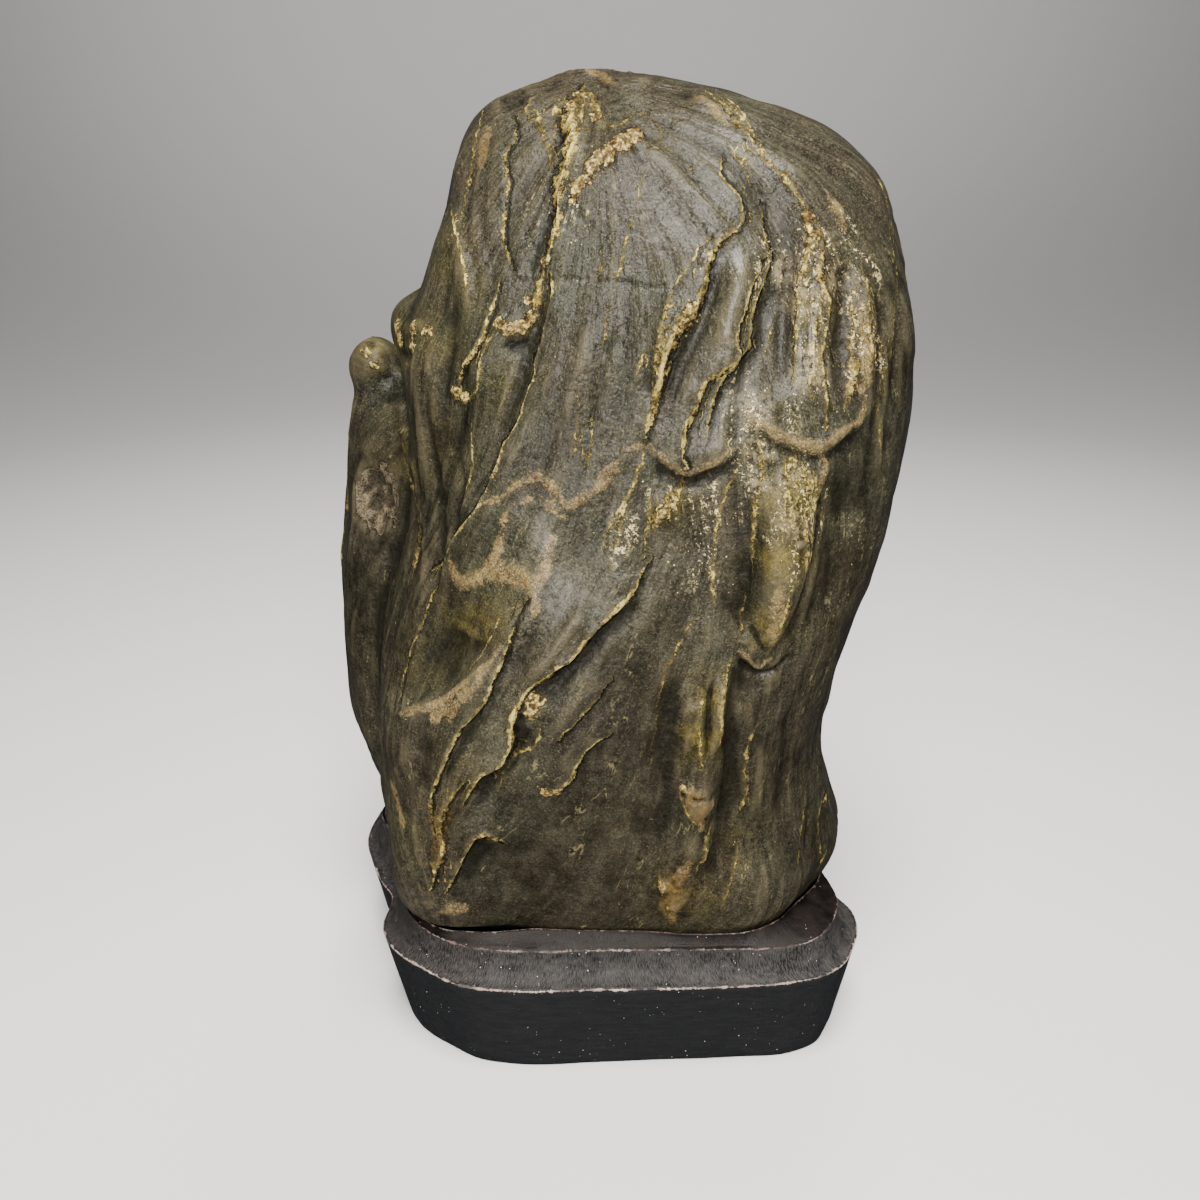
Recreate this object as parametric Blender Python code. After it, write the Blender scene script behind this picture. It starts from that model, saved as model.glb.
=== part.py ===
"""A scholar's rock standing in its carved wooden stand.

Metres, +Z up. The origin is the centre of the stand's flat underside, and the stone's
broad face looks along -Y. The sizes below are in millimetres; MM turns them into metres.
"""

import math

import bmesh
import bpy
import numpy as np
from mathutils import Matrix, Vector
from mathutils.bvhtree import BVHTree

MM = 0.001

# ------------------------------------------------------------------ the stone's mass
SEAT = 38.3  # height of the stone's flat underside
BELOW_SEAT = 6.0  # how far the rough form runs past the underside before it is cut flat

# Level by level, how far each mass reaches: height, left, right, front, back.
MAIN_LEVELS = [
    (32, -50, 60, -36, 35),
    (38, -55, 68, -43, 41),
    (44, -60, 74, -49, 46),
    (50, -63, 78, -52.5, 49),
    (58, -65, 81, -55, 52),
    (67, -67, 81.5, -56.5, 54),
    (78, -69, 78, -58, 56),
    (92, -71, 74.5, -59, 57),
    (108, -72, 73.5, -60, 58),
    (124, -71, 76, -60, 58),
    (142, -67, 81, -59, 57),
    (162, -61, 87, -57, 55),
    (184, -58, 91.5, -54, 53),
    (205, -59, 93.5, -50, 50),
    (222, -59, 95, -46, 47),
    (236, -54.5, 94.5, -41, 45),
    (252, -48.5, 90, -34, 42),
    (266, -44, 84.5, -26, 39),
    (278, -41.5, 75, -17, 36),
    (287, -36, 59, -8, 33),
    (294, -26, 38, 1, 28),
    (299.5, -7, 10, 11, 19),
]
# The tall shoulder that stands behind the main mass on the left.
SHOULDER_LEVELS = [
    (32, -62, -10, 8, 38),
    (38, -68, -10, 5, 42),
    (46, -72.5, -10, 1, 46),
    (60, -79, -10, -1, 50),
    (78, -86, -10, -3, 52),
    (98, -89.5, -10, -4, 53),
    (120, -89.5, -12, -4, 53),
    (145, -88.5, -14, -2, 52),
    (165, -87, -16, 1, 51),
    (185, -84.5, -20, 4, 50),
    (198, -83, -26, 9, 47),
    (207, -79.5, -36, 15, 43),
    (214, -72, -48, 23, 36),
]
# The toe that the main mass puts down at the front left.
TOE_LEVELS = [
    (32, -51, -8, -37, 0),
    (38, -54, -8, -40.5, 5),
    (44, -58.5, -8, -44, 8),
    (50, -63, -8, -48.5, 10),
    (60, -66, -8, -52.5, 12),
    (75, -68.5, -8, -55, 14),
    (95, -70, -12, -56, 14),
    (115, -69.5, -15, -56, 12),
    (128, -66, -20, -53, 8),
]
# The bulge low at the front right.
BULGE_LEVELS = [
    (32, 6, 50, -41, 0),
    (38, 4, 57, -47, 0),
    (44, 2, 62, -51, 0),
    (50, 1, 65, -54, 0),
    (59, 2, 68, -56, 0),
    (68, 6, 68, -56.5, 0),
    (77, 12, 63, -55, 0),
]
# The knob on top of the shoulder.
KNOB_CENTRE = (-73, 25, 212)
KNOB_RADII = (9.5, 11, 10.5)
# The rough lump between the knob and the main mass.
LUMP_CENTRE = (-56.5, 12, 226)
LUMP_RADII = (9, 10, 12)

SECTION_POINTS = 72
BALL_SEGMENTS = 32
SECTION_PITCH = 3.0
SECTION_ROUNDNESS = 2.6  # 2 is an ellipse; higher is squarer
VOXEL = 2.2
BLEND_ROUNDS = 13  # smoothing passes that blend the joined masses
STONE_TRIANGLES = 6500

# ------------------------------------------------------------------ the stone's relief
# The relief is set out on a sketch that hangs square to the line of sight, SKETCH_AWAY
# from an eye point, and is cast onto the stone from there.
EYE = (0, -363, 294)
EYE_DOWN = math.radians(23)
SKETCH_AWAY = 1203
TRACE_STEP = 5
TRACE_REACH = 2.2  # how far a feature is felt, in half widths or run backs
RELIEF_FADE = (46, 60)  # heights between which the relief dies out towards the seat
END_TAPER = 0.33  # share of a line over which each end dies away

# Keyed by the bearing the sketch is turned to: 0 is the broad face, 180 the back.
# kind, half width, rise, how far a ledge's step runs back, the line (across, up).
# A ledge is high on its left as the line runs down the sketch.
RELIEF = {0: [
    # the hollow down the left flank
    ("ridge", 11, -6, 0, [
        (-152, 360), (-156, 300), (-159, 240), (-163, 180), (-169, 120), (-178, 60), (-188, 0),
    ]),
    # the groove between flank and shoulder
    ("ridge", 5, -2.5, 0, [(-197, 228), (-192, 170), (-188, 110), (-188, 55), (-198, -10), (-210, -70)]),
    # the fold at the front of the flank
    ("ridge", 5, 2.5, 0, [(-148, 395), (-143, 360), (-136, 310), (-136, 270), (-142, 225), (-148, 180)]),
    # the scoop low on the left
    ("ridge", 12, -5, 0, [(-122, 10), (-144, -25), (-164, -55), (-180, -82)]),
    # the front plate's edge over the flank
    ("ledge", 3, -3.6, 24, [
        (-21, 506), (-33, 443), (-42, 382), (-50, 347), (-58, 324), (-55, 276), (-65, 228), (-79, 188),
        (-94, 156), (-104, 127), (-119, 96), (-138, 72), (-155, 45), (-170, 28),
    ]),
    # the strip left of the middle vein
    ("ledge", 2.6, 1.8, 14, [
        (122, 441), (135, 407), (144, 382), (137, 369), (116, 354), (105, 321), (90, 285), (69, 251),
        (60, 217), (50, 179), (44, 156),
    ]),
    # the second strip
    ("ledge", 3, 2.8, 16, [
        (162, 410), (169, 375), (169, 344), (158, 310), (145, 270), (137, 238), (116, 215), (102, 195),
        (90, 168), (85, 145),
    ]),
    # the lip that closes both strips
    ("ledge", 2.4, 2.8, 14, [
        (152, 172), (143, 160), (130, 147), (118, 139), (101, 131), (84, 126), (69, 135), (57, 145),
        (48, 156), (40, 170),
    ]),
    # the broad column on the right
    ("ridge", 7, 2.2, 0, [
        (135, 500), (170, 445), (203, 395), (212, 340), (212, 280), (210, 220), (205, 170),
    ]),
    # the valley beside the column
    ("ridge", 5, -2.2, 0, [(152, 435), (172, 390), (182, 330), (178, 270), (165, 220), (145, 180)]),
    # the valley right of the column
    ("ridge", 5, -1.8, 0, [(250, 375), (246, 330), (242, 280), (242, 230), (240, 195)]),
    # the outer column
    ("ridge", 4, 1.8, 0, [(262, 365), (262, 300), (266, 250), (262, 200)]),
    # the shelf under the columns
    ("ledge", 3, 3.6, 20, [
        (290, 240), (278, 208), (261, 177), (246, 166), (233, 152), (224, 124), (216, 95), (212, 49),
        (206, 10), (196, -18), (182, -40), (166, -54), (152, -60),
    ]),
    # the hanging lobe
    ("ridge", 8, 3.2, 0, [(185, 130), (185, 80), (184, 30), (176, -10), (164, -36)]),
    # the hollow left of the lobe
    ("ridge", 6, -2, 0, [(142, 130), (138, 70), (136, 20), (130, -30)]),
    # the pit under the lobe
    ("ridge", 4, -3.5, 0, [(135, -64), (150, -76), (166, -100)]),
    # the ridges under the lobe
    ("ridge", 5, 3.2, 0, [
        (122, -68), (114, -100), (106, -145), (100, -190), (94, -225), (90, -258), (78, -284),
        (76, -325),
    ]),
    # the flute left of the ridges
    ("ridge", 6, -1.6, 0, [(76, -40), (68, -100), (64, -160), (56, -220), (40, -280)]),
    # the flute right of the ridges
    ("ridge", 5, -2.2, 0, [(148, -100), (136, -145), (128, -200), (118, -250), (112, -300)]),
    # the plate edge across the lower front
    ("ledge", 3, 3, 24, [
        (68, 52), (42, 27), (28, 0), (-2, -25), (-23, -54), (-54, -78), (-76, -100), (-88, -128),
        (-98, -161), (-123, -180), (-136, -207), (-154, -226), (-162, -262),
    ]),
    # the crest over the scoop
    ("ridge", 4, 3, 0, [
        (-70, 8), (-86, -21), (-98, -55), (-116, -90), (-140, -130), (-158, -170), (-167, -215),
        (-166, -250),
    ]),
    # the slant ridge under the scoop
    ("ridge", 3.5, 2.6, 0, [(-204, -116), (-180, -111), (-151, -97), (-128, -80), (-100, -45)]),
    # the small ledges of the lower front
    ("ledge", 2.4, 1.6, 12, [(20, -68), (7, -84), (-4, -98), (-19, -115), (-39, -138), (-54, -152)]),
    ("ledge", 2.4, 2, 14, [
        (22, -126), (7, -136), (-10, -148), (-23, -166), (-33, -184), (-50, -192), (-70, -200),
    ]),
    # the hook over the toe
    ("ledge", 2.6, 2.8, 12, [
        (-88, -246), (-100, -240), (-114, -234), (-128, -242), (-138, -260), (-150, -284), (-160, -300),
    ]),
    # the crease of the middle
    ("ridge", 3, 1, 0, [(-35, 92), (-18, 100), (7, 125), (40, 153)]),
    # the broken face of the shoulder
    ("ridge", 6, -2.4, 0, [(-248, 130), (-230, 108), (-220, 80)]),
    # the crust lumps
    ("ridge", 3.6, 2.2, 0, [(-104, 282), (-90, 272), (-72, 278)]),
    ("ridge", 3.8, 1.6, 0, [(46, 474), (12, 450), (-16, 420), (-28, 404)]),
    ("ridge", 3.6, 2, 0, [(-100, 280), (-110, 255), (-126, 230), (-140, 200)]),
    ("ridge", 3.8, 1.8, 0, [(60, 240), (68, 275), (94, 294)]),
    ("ridge", 3.4, 1.8, 0, [(68, 108), (64, 90), (60, 74)]),
    ("ridge", 3.4, 2, 0, [(-60, -92), (-70, -114), (-76, -128)]),
], 180: [
    ("ledge", 3, 3.2, 26, [(-60, 470), (-40, 380), (-52, 300), (-30, 210), (-48, 120), (-20, 40)]),
    ("ridge", 12, -4, 0, [(120, 400), (135, 300), (128, 200), (140, 110)]),
    ("ledge", 3, 3, 22, [(170, 100), (90, 60), (40, 20), (-30, -30), (-70, -100), (-80, -170)]),
    ("ridge", 6, 2.5, 0, [(60, 440), (80, 330), (70, 240), (84, 130)]),
    ("ridge", 9, -3.5, 0, [(-150, 360), (-160, 230), (-150, 120), (-165, 20), (-150, -60)]),
    ("ridge", 6, 3, 0, [(-100, 60), (-110, -20), (-96, -100), (-104, -180)]),
    ("ledge", 3, 3, 20, [(150, -10), (120, -30), (90, -90), (96, -160), (60, -230)]),
    ("ridge", 8, -3, 0, [(10, -50), (0, -140), (14, -220)]),
    ("ridge", 7, -2.6, 0, [(190, 90), (204, 20), (196, -60), (206, -150)]),
], 90: [
    ("ridge", 8, -3, 0, [(-30, 400), (-48, 290), (-40, 200), (-52, 90)]),
    ("ledge", 3, -2.6, 18, [(50, 420), (40, 310), (56, 220), (38, 130), (50, 20)]),
    ("ridge", 7, -2.6, 0, [(-60, 60), (-50, -70), (-64, -190)]),
    ("ledge", 3, -2.4, 16, [(80, 60), (60, -60), (66, -180)]),
    ("ridge", 5, -2, 0, [(10, 20), (4, -70), (16, -170)]),
], 270: [
    ("ridge", 7, -2.6, 0, [(-60, 220), (-50, 90), (-64, 0), (-54, -130)]),
    ("ledge", 3, -2.4, 18, [(-110, 230), (-100, 100), (-112, 10), (-98, -120)]),
    ("ridge", 6, -2, 0, [(-20, 180), (-26, 60), (-18, -60)]),
]}

# ------------------------------------------------------------------ the stand
FOOT_Z = 0.0
WALL_TOP = 34.0
FLOOR = 38.0  # floor of the recess
JOINT = 1.0  # room between the stone and the recess cut for it
SEAT_PITCH = 7.0
SEAT_ROWS = 4  # rows of each level table, past its first, that the recess is cut from
STAND_POINTS = 90
# Outlines seen from above (x, y), anticlockwise from the right.
FOOT_OUTLINE = [
    (73, -4), (77, 8), (79.5, 22), (78, 38), (69, 52), (50, 59), (22, 60), (-10, 60), (-42, 59.5),
    (-63, 55), (-75, 45), (-79, 30), (-80, 17), (-77, 7), (-71, -6), (-67, -16), (-66, -23),
    (-67, -29), (-65.5, -34), (-59.5, -43.5), (-49.5, -51.5), (-39.5, -57.5), (-30, -59.5),
    (0, -59), (30, -57.5), (46, -56.5), (63.5, -54.5), (72, -50), (76.5, -43), (80, -35),
    (79.5, -26), (75.5, -16),
]
WALL_OUTLINE = [
    (79.5, -4), (83, 8), (85.5, 22), (84, 39), (75, 55), (54, 63.5), (23, 65), (-11, 65), (-46, 64.5),
    (-69, 60), (-81.5, 50), (-86.5, 34), (-87.5, 18.5), (-84, 7), (-77, -9), (-73, -15.5),
    (-72.5, -20), (-73, -25), (-73.5, -31), (-71.5, -38), (-65, -47), (-55.5, -54.5),
    (-49, -59), (-41, -62.5), (-34.5, -63.5), (0, -63.5), (44, -62), (60.5, -60),
    (73, -56), (79, -51), (83.5, -43), (87, -32), (86.5, -23.5), (82, -14.5),
]
RIM_OUTLINE = [
    (73, -4), (77, 8), (79, 22), (77, 36), (69, 49), (50, 56), (22, 57.5), (-11, 57.5), (-44, 57),
    (-63, 53), (-74.5, 44), (-79.5, 30), (-81, 17), (-77.5, 9.5), (-72, -1.5), (-69.5, -11.5),
    (-67, -20.5), (-66, -30), (-63.5, -38.5), (-59, -45.5), (-52.5, -51), (-45, -54.5),
    (-39, -56), (-34, -56.5), (0, -56), (29, -56.5), (42.5, -56.5), (58, -56),
    (66.5, -54), (72.5, -49.5), (76, -44), (78.5, -35.5), (78, -29), (75.5, -17),
]
# Height of the rim's outer edge, and of its top at the recess, along the same outline.
RIM_HEIGHTS = [(0, 46), (40, 46), (140, 46), (190, 46), (216, 45.8), (236, 44.2), (300, 44.2),
               (318, 45), (335, 47.5), (348, 47)]
CREST_HEIGHTS = [(0, 47.5), (40, 47.5), (140, 47.5), (190, 46.6), (216, 46.6), (236, 47), (280, 48),
                 (318, 49), (335, 49.5), (348, 48.5)]
COVE_STEPS = 4  # rings between the wall's top and the rim
COVE_DEPTH = 0.97
# Width of the rim's top: where it is broad, the stone's own seat cuts it back.
LAND_WIDTHS = [(0, 7), (60, 7), (120, 7), (140, 7), (152, 3), (162, 1.2), (190, 1), (217, 1),
               (228, 1.7), (237, 3.3), (245, 5.5), (254, 8), (300, 8), (330, 8)]

STONE_COLOUR = (0.085, 0.083, 0.060, 1)
STONE_ROUGHNESS = 0.45
STAND_COLOUR = (0.022, 0.018, 0.016, 1)
STAND_ROUGHNESS = 0.5


# ------------------------------------------------------------------ shared steps
def at_heights(levels, heights):
    """The four reaches of a level table at each height, on a smooth curve through the rows."""
    rows = np.array(levels, float)
    z, reach = rows[:, 0], rows[:, 1:]
    slope = np.gradient(reach, z, axis=0)
    index = np.clip(np.searchsorted(z, heights) - 1, 0, len(z) - 2)
    span = (z[index + 1] - z[index])[:, None]
    t = (heights - z[index])[:, None] / span
    start, end = reach[index], reach[index + 1]
    leave, arrive = slope[index] * span, slope[index + 1] * span
    return (
        start * (2 * t**3 - 3 * t**2 + 1)
        + leave * (t**3 - 2 * t**2 + t)
        + end * (3 * t**2 - 2 * t**3)
        + arrive * (t**3 - t**2)
    )


def as_object(name, shape):
    mesh = bpy.data.meshes.new(name)
    shape.to_mesh(mesh)
    shape.free()
    obj = bpy.data.objects.new(name, mesh)
    bpy.context.scene.collection.objects.link(obj)
    return obj


def skin(name, rings):
    """A closed body through rings of points, with a flat cap on each end."""
    shape = bmesh.new()
    made = [[shape.verts.new(Vector(point) * MM) for point in ring] for ring in rings]
    count = len(made[0])
    for lower, upper in zip(made, made[1:]):
        for i in range(count):
            j = (i + 1) % count
            shape.faces.new((lower[i], lower[j], upper[j], upper[i]))
    shape.faces.new(made[0][::-1])
    shape.faces.new(made[-1])
    return as_object(name, shape)


def loft(name, levels, room=0.0, pitch=SECTION_PITCH):
    """A body through the level table's rounded-square sections, swollen by room all round."""
    low, high = levels[0][0], levels[-1][0]
    heights = np.linspace(low, high, int((high - low) / pitch) + 2)
    angles = np.linspace(0, 2 * math.pi, SECTION_POINTS, endpoint=False)
    power = 2 / SECTION_ROUNDNESS
    across = np.sign(np.cos(angles)) * np.abs(np.cos(angles)) ** power
    deep = np.sign(np.sin(angles)) * np.abs(np.sin(angles)) ** power
    rings = []
    for height, (left, right, front, back) in zip(heights, at_heights(levels, heights)):
        x = (left + right) / 2 + across * ((right - left) / 2 + room)
        y = (front + back) / 2 + deep * ((back - front) / 2 + room)
        rings.append([(px, py, height) for px, py in zip(x, y)])
    return skin(name, rings)


def ball(name, centre, radii):
    shape = bmesh.new()
    bmesh.ops.create_uvsphere(shape, u_segments=BALL_SEGMENTS, v_segments=BALL_SEGMENTS // 2, radius=1)
    bmesh.ops.scale(shape, vec=Vector(radii) * MM, verts=shape.verts)
    bmesh.ops.translate(shape, vec=Vector(centre) * MM, verts=shape.verts)
    return as_object(name, shape)


def join(objects):
    target = objects[0]
    with bpy.context.temp_override(
        active_object=target, selected_editable_objects=objects, selected_objects=objects
    ):
        bpy.ops.object.join()
    return target


def settle(obj):
    """Turn the object's modifiers into its mesh."""
    bpy.context.view_layer.update()
    graph = bpy.context.evaluated_depsgraph_get()
    mesh = bpy.data.meshes.new_from_object(obj.evaluated_get(graph))
    obj.modifiers.clear()
    spent = obj.data
    obj.data = mesh
    bpy.data.meshes.remove(spent)


def points_of(mesh):
    flat = np.empty(len(mesh.vertices) * 3)
    mesh.vertices.foreach_get("co", flat)
    return flat.reshape(-1, 3)


def normals_of(mesh):
    flat = np.empty(len(mesh.vertices) * 3)
    mesh.vertices.foreach_get("normal", flat)
    return flat.reshape(-1, 3)


def paint(obj, name, colour, roughness):
    material = bpy.data.materials.new(name)
    material.use_nodes = True
    shader = material.node_tree.nodes["Principled BSDF"]
    shader.inputs["Base Color"].default_value = colour
    shader.inputs["Roughness"].default_value = roughness
    obj.data.materials.clear()
    obj.data.materials.append(material)


# ------------------------------------------------------------------ the stone
def stone_mass():
    parts = [
        loft("stone", MAIN_LEVELS),
        loft("shoulder", SHOULDER_LEVELS),
        loft("toe", TOE_LEVELS),
        loft("bulge", BULGE_LEVELS),
        ball("knob", KNOB_CENTRE, KNOB_RADII),
        ball("lump", LUMP_CENTRE, LUMP_RADII),
    ]
    stone = join(parts)
    remesh = stone.modifiers.new("one skin", "REMESH")
    remesh.mode = "VOXEL"
    remesh.voxel_size = VOXEL * MM
    blend = stone.modifiers.new("blend", "SMOOTH")
    blend.iterations = BLEND_ROUNDS
    settle(stone)
    return stone


def sight_lines(line):
    """The sketch line at an even pitch, as directions out of the eye at bearing 0."""
    marks = np.array(line, float)
    run = np.concatenate([[0], np.cumsum(np.linalg.norm(np.diff(marks, axis=0), axis=1))])
    even = np.linspace(0, run[-1], max(int(run[-1] / TRACE_STEP), 2) + 1)
    across = np.interp(even, run, marks[:, 0])
    up = np.interp(even, run, marks[:, 1])
    ahead = np.array([0, math.cos(EYE_DOWN), -math.sin(EYE_DOWN)])
    above = np.array([0, math.sin(EYE_DOWN), math.cos(EYE_DOWN)])
    side = np.array([1.0, 0, 0])
    return across[:, None] * side + up[:, None] * above + SKETCH_AWAY * ahead


def cast_line(tree, line, bearing):
    turn = Matrix.Rotation(math.radians(bearing), 3, "Z")
    eye = turn @ Vector(EYE) * MM
    hits = [tree.ray_cast(eye, turn @ Vector(sight).normalized()) for sight in sight_lines(line)]
    found = [(hit[0], hit[1]) for hit in hits if hit[0] is not None]
    places = np.array([list(place) for place, normal in found])
    facings = np.array([list(normal) for place, normal in found])
    return places, facings


def nearest_on_line(points, places, facings):
    """For each point: distance to the line, signed by its side, and where along it."""
    start, step = places[:-1], np.diff(places, axis=0)
    offset = points[:, None, :] - start[None]
    along = np.clip((offset * step).sum(2) / (step * step).sum(1), 0, 1)
    away = offset - along[..., None] * step[None]
    distance = np.linalg.norm(away, axis=2)
    nearest = distance.argmin(axis=1)
    row = np.arange(len(points))
    left = np.cross(step, facings[:-1])
    side = np.sign((away[row, nearest] * left[nearest]).sum(1))
    part = (nearest + along[row, nearest]) / len(step)
    return distance[row, nearest], side, part


def smooth_rise(t):
    t = np.clip(t, 0, 1)
    return t * t * (3 - 2 * t)


def relief_of(points, tree, bearing, feature):
    kind, width, rise, run_back, line = feature
    places, facings = cast_line(tree, line, bearing)
    places, points = places / MM, points / MM
    reach = TRACE_REACH * max(width, run_back)
    low, high = places.min(0) - reach, places.max(0) + reach
    near = ((points > low) & (points < high)).all(1)
    height = np.zeros(len(points))
    distance, side, part = nearest_on_line(points[near], places, facings)
    if kind == "ridge":
        shape = np.exp(-((distance / width) ** 2))
    else:
        step = smooth_rise((distance * side / width + 1) / 2)
        shape = step * np.exp(-((distance / run_back) ** 2))
    taper = smooth_rise(part / END_TAPER) * smooth_rise((1 - part) / END_TAPER)
    height[near] = rise * shape * taper
    return height


def add_relief(stone):
    tree = BVHTree.FromObject(stone, bpy.context.evaluated_depsgraph_get())
    points, normals = points_of(stone.data), normals_of(stone.data)
    height = np.zeros(len(points))
    for bearing, features in RELIEF.items():
        for feature in features:
            height += relief_of(points, tree, bearing, feature)
    fade = smooth_rise((points[:, 2] / MM - RELIEF_FADE[0]) / (RELIEF_FADE[1] - RELIEF_FADE[0]))
    moved = points + normals * (height * fade * MM)[:, None]
    stone.data.vertices.foreach_set("co", moved.ravel())
    stone.data.update()


def cut_seat(stone):
    shape = bmesh.new()
    shape.from_mesh(stone.data)
    cut = bmesh.ops.bisect_plane(
        shape,
        geom=shape.verts[:] + shape.edges[:] + shape.faces[:],
        plane_co=(0, 0, SEAT * MM),
        plane_no=(0, 0, 1),
        clear_inner=True,
    )
    rim = [item for item in cut["geom_cut"] if isinstance(item, bmesh.types.BMEdge)]
    bmesh.ops.contextual_create(shape, geom=rim)
    bmesh.ops.triangulate(shape, faces=shape.faces)
    shape.to_mesh(stone.data)
    shape.free()


def thin_out(stone):
    stone.data.calc_loop_triangles()
    thin = stone.modifiers.new("facets", "DECIMATE")
    thin.ratio = STONE_TRIANGLES / len(stone.data.loop_triangles)
    thin.use_collapse_triangulate = True
    settle(stone)


def make_stone():
    stone = stone_mass()
    add_relief(stone)
    cut_seat(stone)
    thin_out(stone)
    paint(stone, "stone", STONE_COLOUR, STONE_ROUGHNESS)
    return stone


# ------------------------------------------------------------------ the stand
def around(outline, bearings):
    """Distance out from the origin at each bearing, on a smooth closed curve."""
    marks = np.array(outline, float)
    angle = np.degrees(np.arctan2(marks[:, 1], marks[:, 0])) % 360
    return on_loop(angle, np.hypot(marks[:, 0], marks[:, 1]), bearings)


def on_loop(angle, value, bearings):
    """A smooth closed curve through value at angle, read at each bearing."""
    order = angle.argsort()
    angle, value = angle[order], value[order]
    wide = np.concatenate([angle - 360, angle, angle + 360])
    tall = np.tile(value, 3)
    slope = np.gradient(tall, wide)
    index = np.searchsorted(wide, bearings, side="right") - 1
    span = wide[index + 1] - wide[index]
    t = (bearings - wide[index]) / span
    return (
        tall[index] * (2 * t**3 - 3 * t**2 + 1)
        + slope[index] * span * (t**3 - 2 * t**2 + t)
        + tall[index + 1] * (3 * t**2 - 2 * t**3)
        + slope[index + 1] * span * (t**3 - t**2)
    )


def read_around(table, bearings):
    rows = np.array(table, float)
    return on_loop(rows[:, 0], rows[:, 1], bearings)


def ring(bearings, out, height):
    turn = np.radians(bearings)
    high = np.broadcast_to(height, out.shape)
    return list(zip(out * np.cos(turn), out * np.sin(turn), high))


def stand_body():
    bearings = np.arange(STAND_POINTS) * 360 / STAND_POINTS
    foot = around(FOOT_OUTLINE, bearings)
    wall = around(WALL_OUTLINE, bearings)
    rim = around(RIM_OUTLINE, bearings)
    rim_z = read_around(RIM_HEIGHTS, bearings)
    crest_z = read_around(CREST_HEIGHTS, bearings)
    rings = [ring(bearings, foot, FOOT_Z), ring(bearings, wall, WALL_TOP)]
    for i in range(1, COVE_STEPS):
        turn = math.radians(90 * i / COVE_STEPS)
        inward, lift = COVE_DEPTH * math.sin(turn), 1 - math.cos(turn)
        rings.append(ring(bearings, wall + (rim - wall) * inward, WALL_TOP + (rim_z - WALL_TOP) * lift))
    inner = rim - read_around(LAND_WIDTHS, bearings)
    rings.append(ring(bearings, rim, rim_z))
    rings.append(ring(bearings, inner, crest_z))
    rings.append(ring(bearings, inner, FLOOR))
    return skin("stand", rings)


def make_stand():
    stand = stand_body()
    masses = [MAIN_LEVELS, SHOULDER_LEVELS, TOE_LEVELS, BULGE_LEVELS]
    seat = [loft("seat", levels[1:SEAT_ROWS + 1], JOINT, SEAT_PITCH) for levels in masses]
    for cutter in seat:
        cut = stand.modifiers.new("seat", "BOOLEAN")
        cut.operation = "DIFFERENCE"
        cut.solver = "EXACT"
        cut.object = cutter
    settle(stand)
    for cutter in seat:
        bpy.data.objects.remove(cutter)
    paint(stand, "stand", STAND_COLOUR, STAND_ROUGHNESS)
    return stand


for old in list(bpy.data.objects):
    bpy.data.objects.remove(old)
make_stone()
make_stand()
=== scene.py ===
import math

import bpy
import numpy as np
from mathutils import Matrix, Vector, noise
from mathutils.bvhtree import BVHTree


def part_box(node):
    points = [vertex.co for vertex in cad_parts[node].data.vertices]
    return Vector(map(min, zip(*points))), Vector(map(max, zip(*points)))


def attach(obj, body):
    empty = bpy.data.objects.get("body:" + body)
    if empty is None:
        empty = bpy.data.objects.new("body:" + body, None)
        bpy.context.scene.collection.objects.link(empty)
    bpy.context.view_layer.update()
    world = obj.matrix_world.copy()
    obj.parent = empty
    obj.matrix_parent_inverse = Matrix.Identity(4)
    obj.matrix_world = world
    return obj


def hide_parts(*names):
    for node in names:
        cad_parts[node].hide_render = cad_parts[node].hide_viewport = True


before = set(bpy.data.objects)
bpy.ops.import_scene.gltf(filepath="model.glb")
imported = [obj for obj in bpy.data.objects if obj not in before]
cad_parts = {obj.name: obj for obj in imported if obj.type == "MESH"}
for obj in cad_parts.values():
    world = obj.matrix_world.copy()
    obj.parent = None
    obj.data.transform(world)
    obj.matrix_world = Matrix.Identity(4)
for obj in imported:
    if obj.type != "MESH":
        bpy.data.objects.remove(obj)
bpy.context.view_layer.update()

# ---------------------------------------------------------------------------------------
# The camera. It stands level with the stone's top, looks down at it, and faces the
# broad face of the stone.

EYE = Vector((0.0, -0.363, 0.294))
LOOK_DOWN = math.radians(23)
SENSOR = 36.0
LENS = 36.09

camera_data = bpy.data.cameras.new("camera")
camera_data.sensor_width = SENSOR
camera_data.lens = LENS
camera_data.clip_start = 0.01
camera = bpy.data.objects.new("camera", camera_data)
camera.location = EYE
camera.rotation_euler = (math.radians(90) - LOOK_DOWN, 0, 0)
bpy.context.scene.collection.objects.link(camera)
bpy.context.scene.camera = camera

# ---------------------------------------------------------------------------------------
# The floor and backdrop. One seamless sheet of pale paper: a flat round floor that
# sweeps up into a wall all the way round, so that every side is seen against it.

MM = 0.001
FLOOR_SIDES = 96
FLOOR_RADIUS = 0.85
SWEEP_RADIUS = 1.3
SWEEP_STEPS = 20
WALL_RISE = 1.2
PAPER = (0.62, 0.625, 0.645, 1)
PAPER_FLECK = (214, 214, 216)
FLECK_SIZE = 60


# Nodes are added to the tree in hand, which is always called tree.
def new_finish(name):
    """A new material, its tree and its shader."""
    finish = bpy.data.materials.new(name)
    finish.use_nodes = True
    return finish, finish.node_tree, finish.node_tree.nodes["Principled BSDF"]


def add_node(kind, **settings):
    """A new node in the tree in hand."""
    node = tree.nodes.new(kind)
    for name, value in settings.items():
        setattr(node, name, value)
    return node


def feed(socket, value):
    """Sets a socket to a value, or links another node's output to it."""
    if isinstance(value, bpy.types.NodeSocket):
        tree.links.new(value, socket)
    else:
        socket.default_value = value


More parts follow.
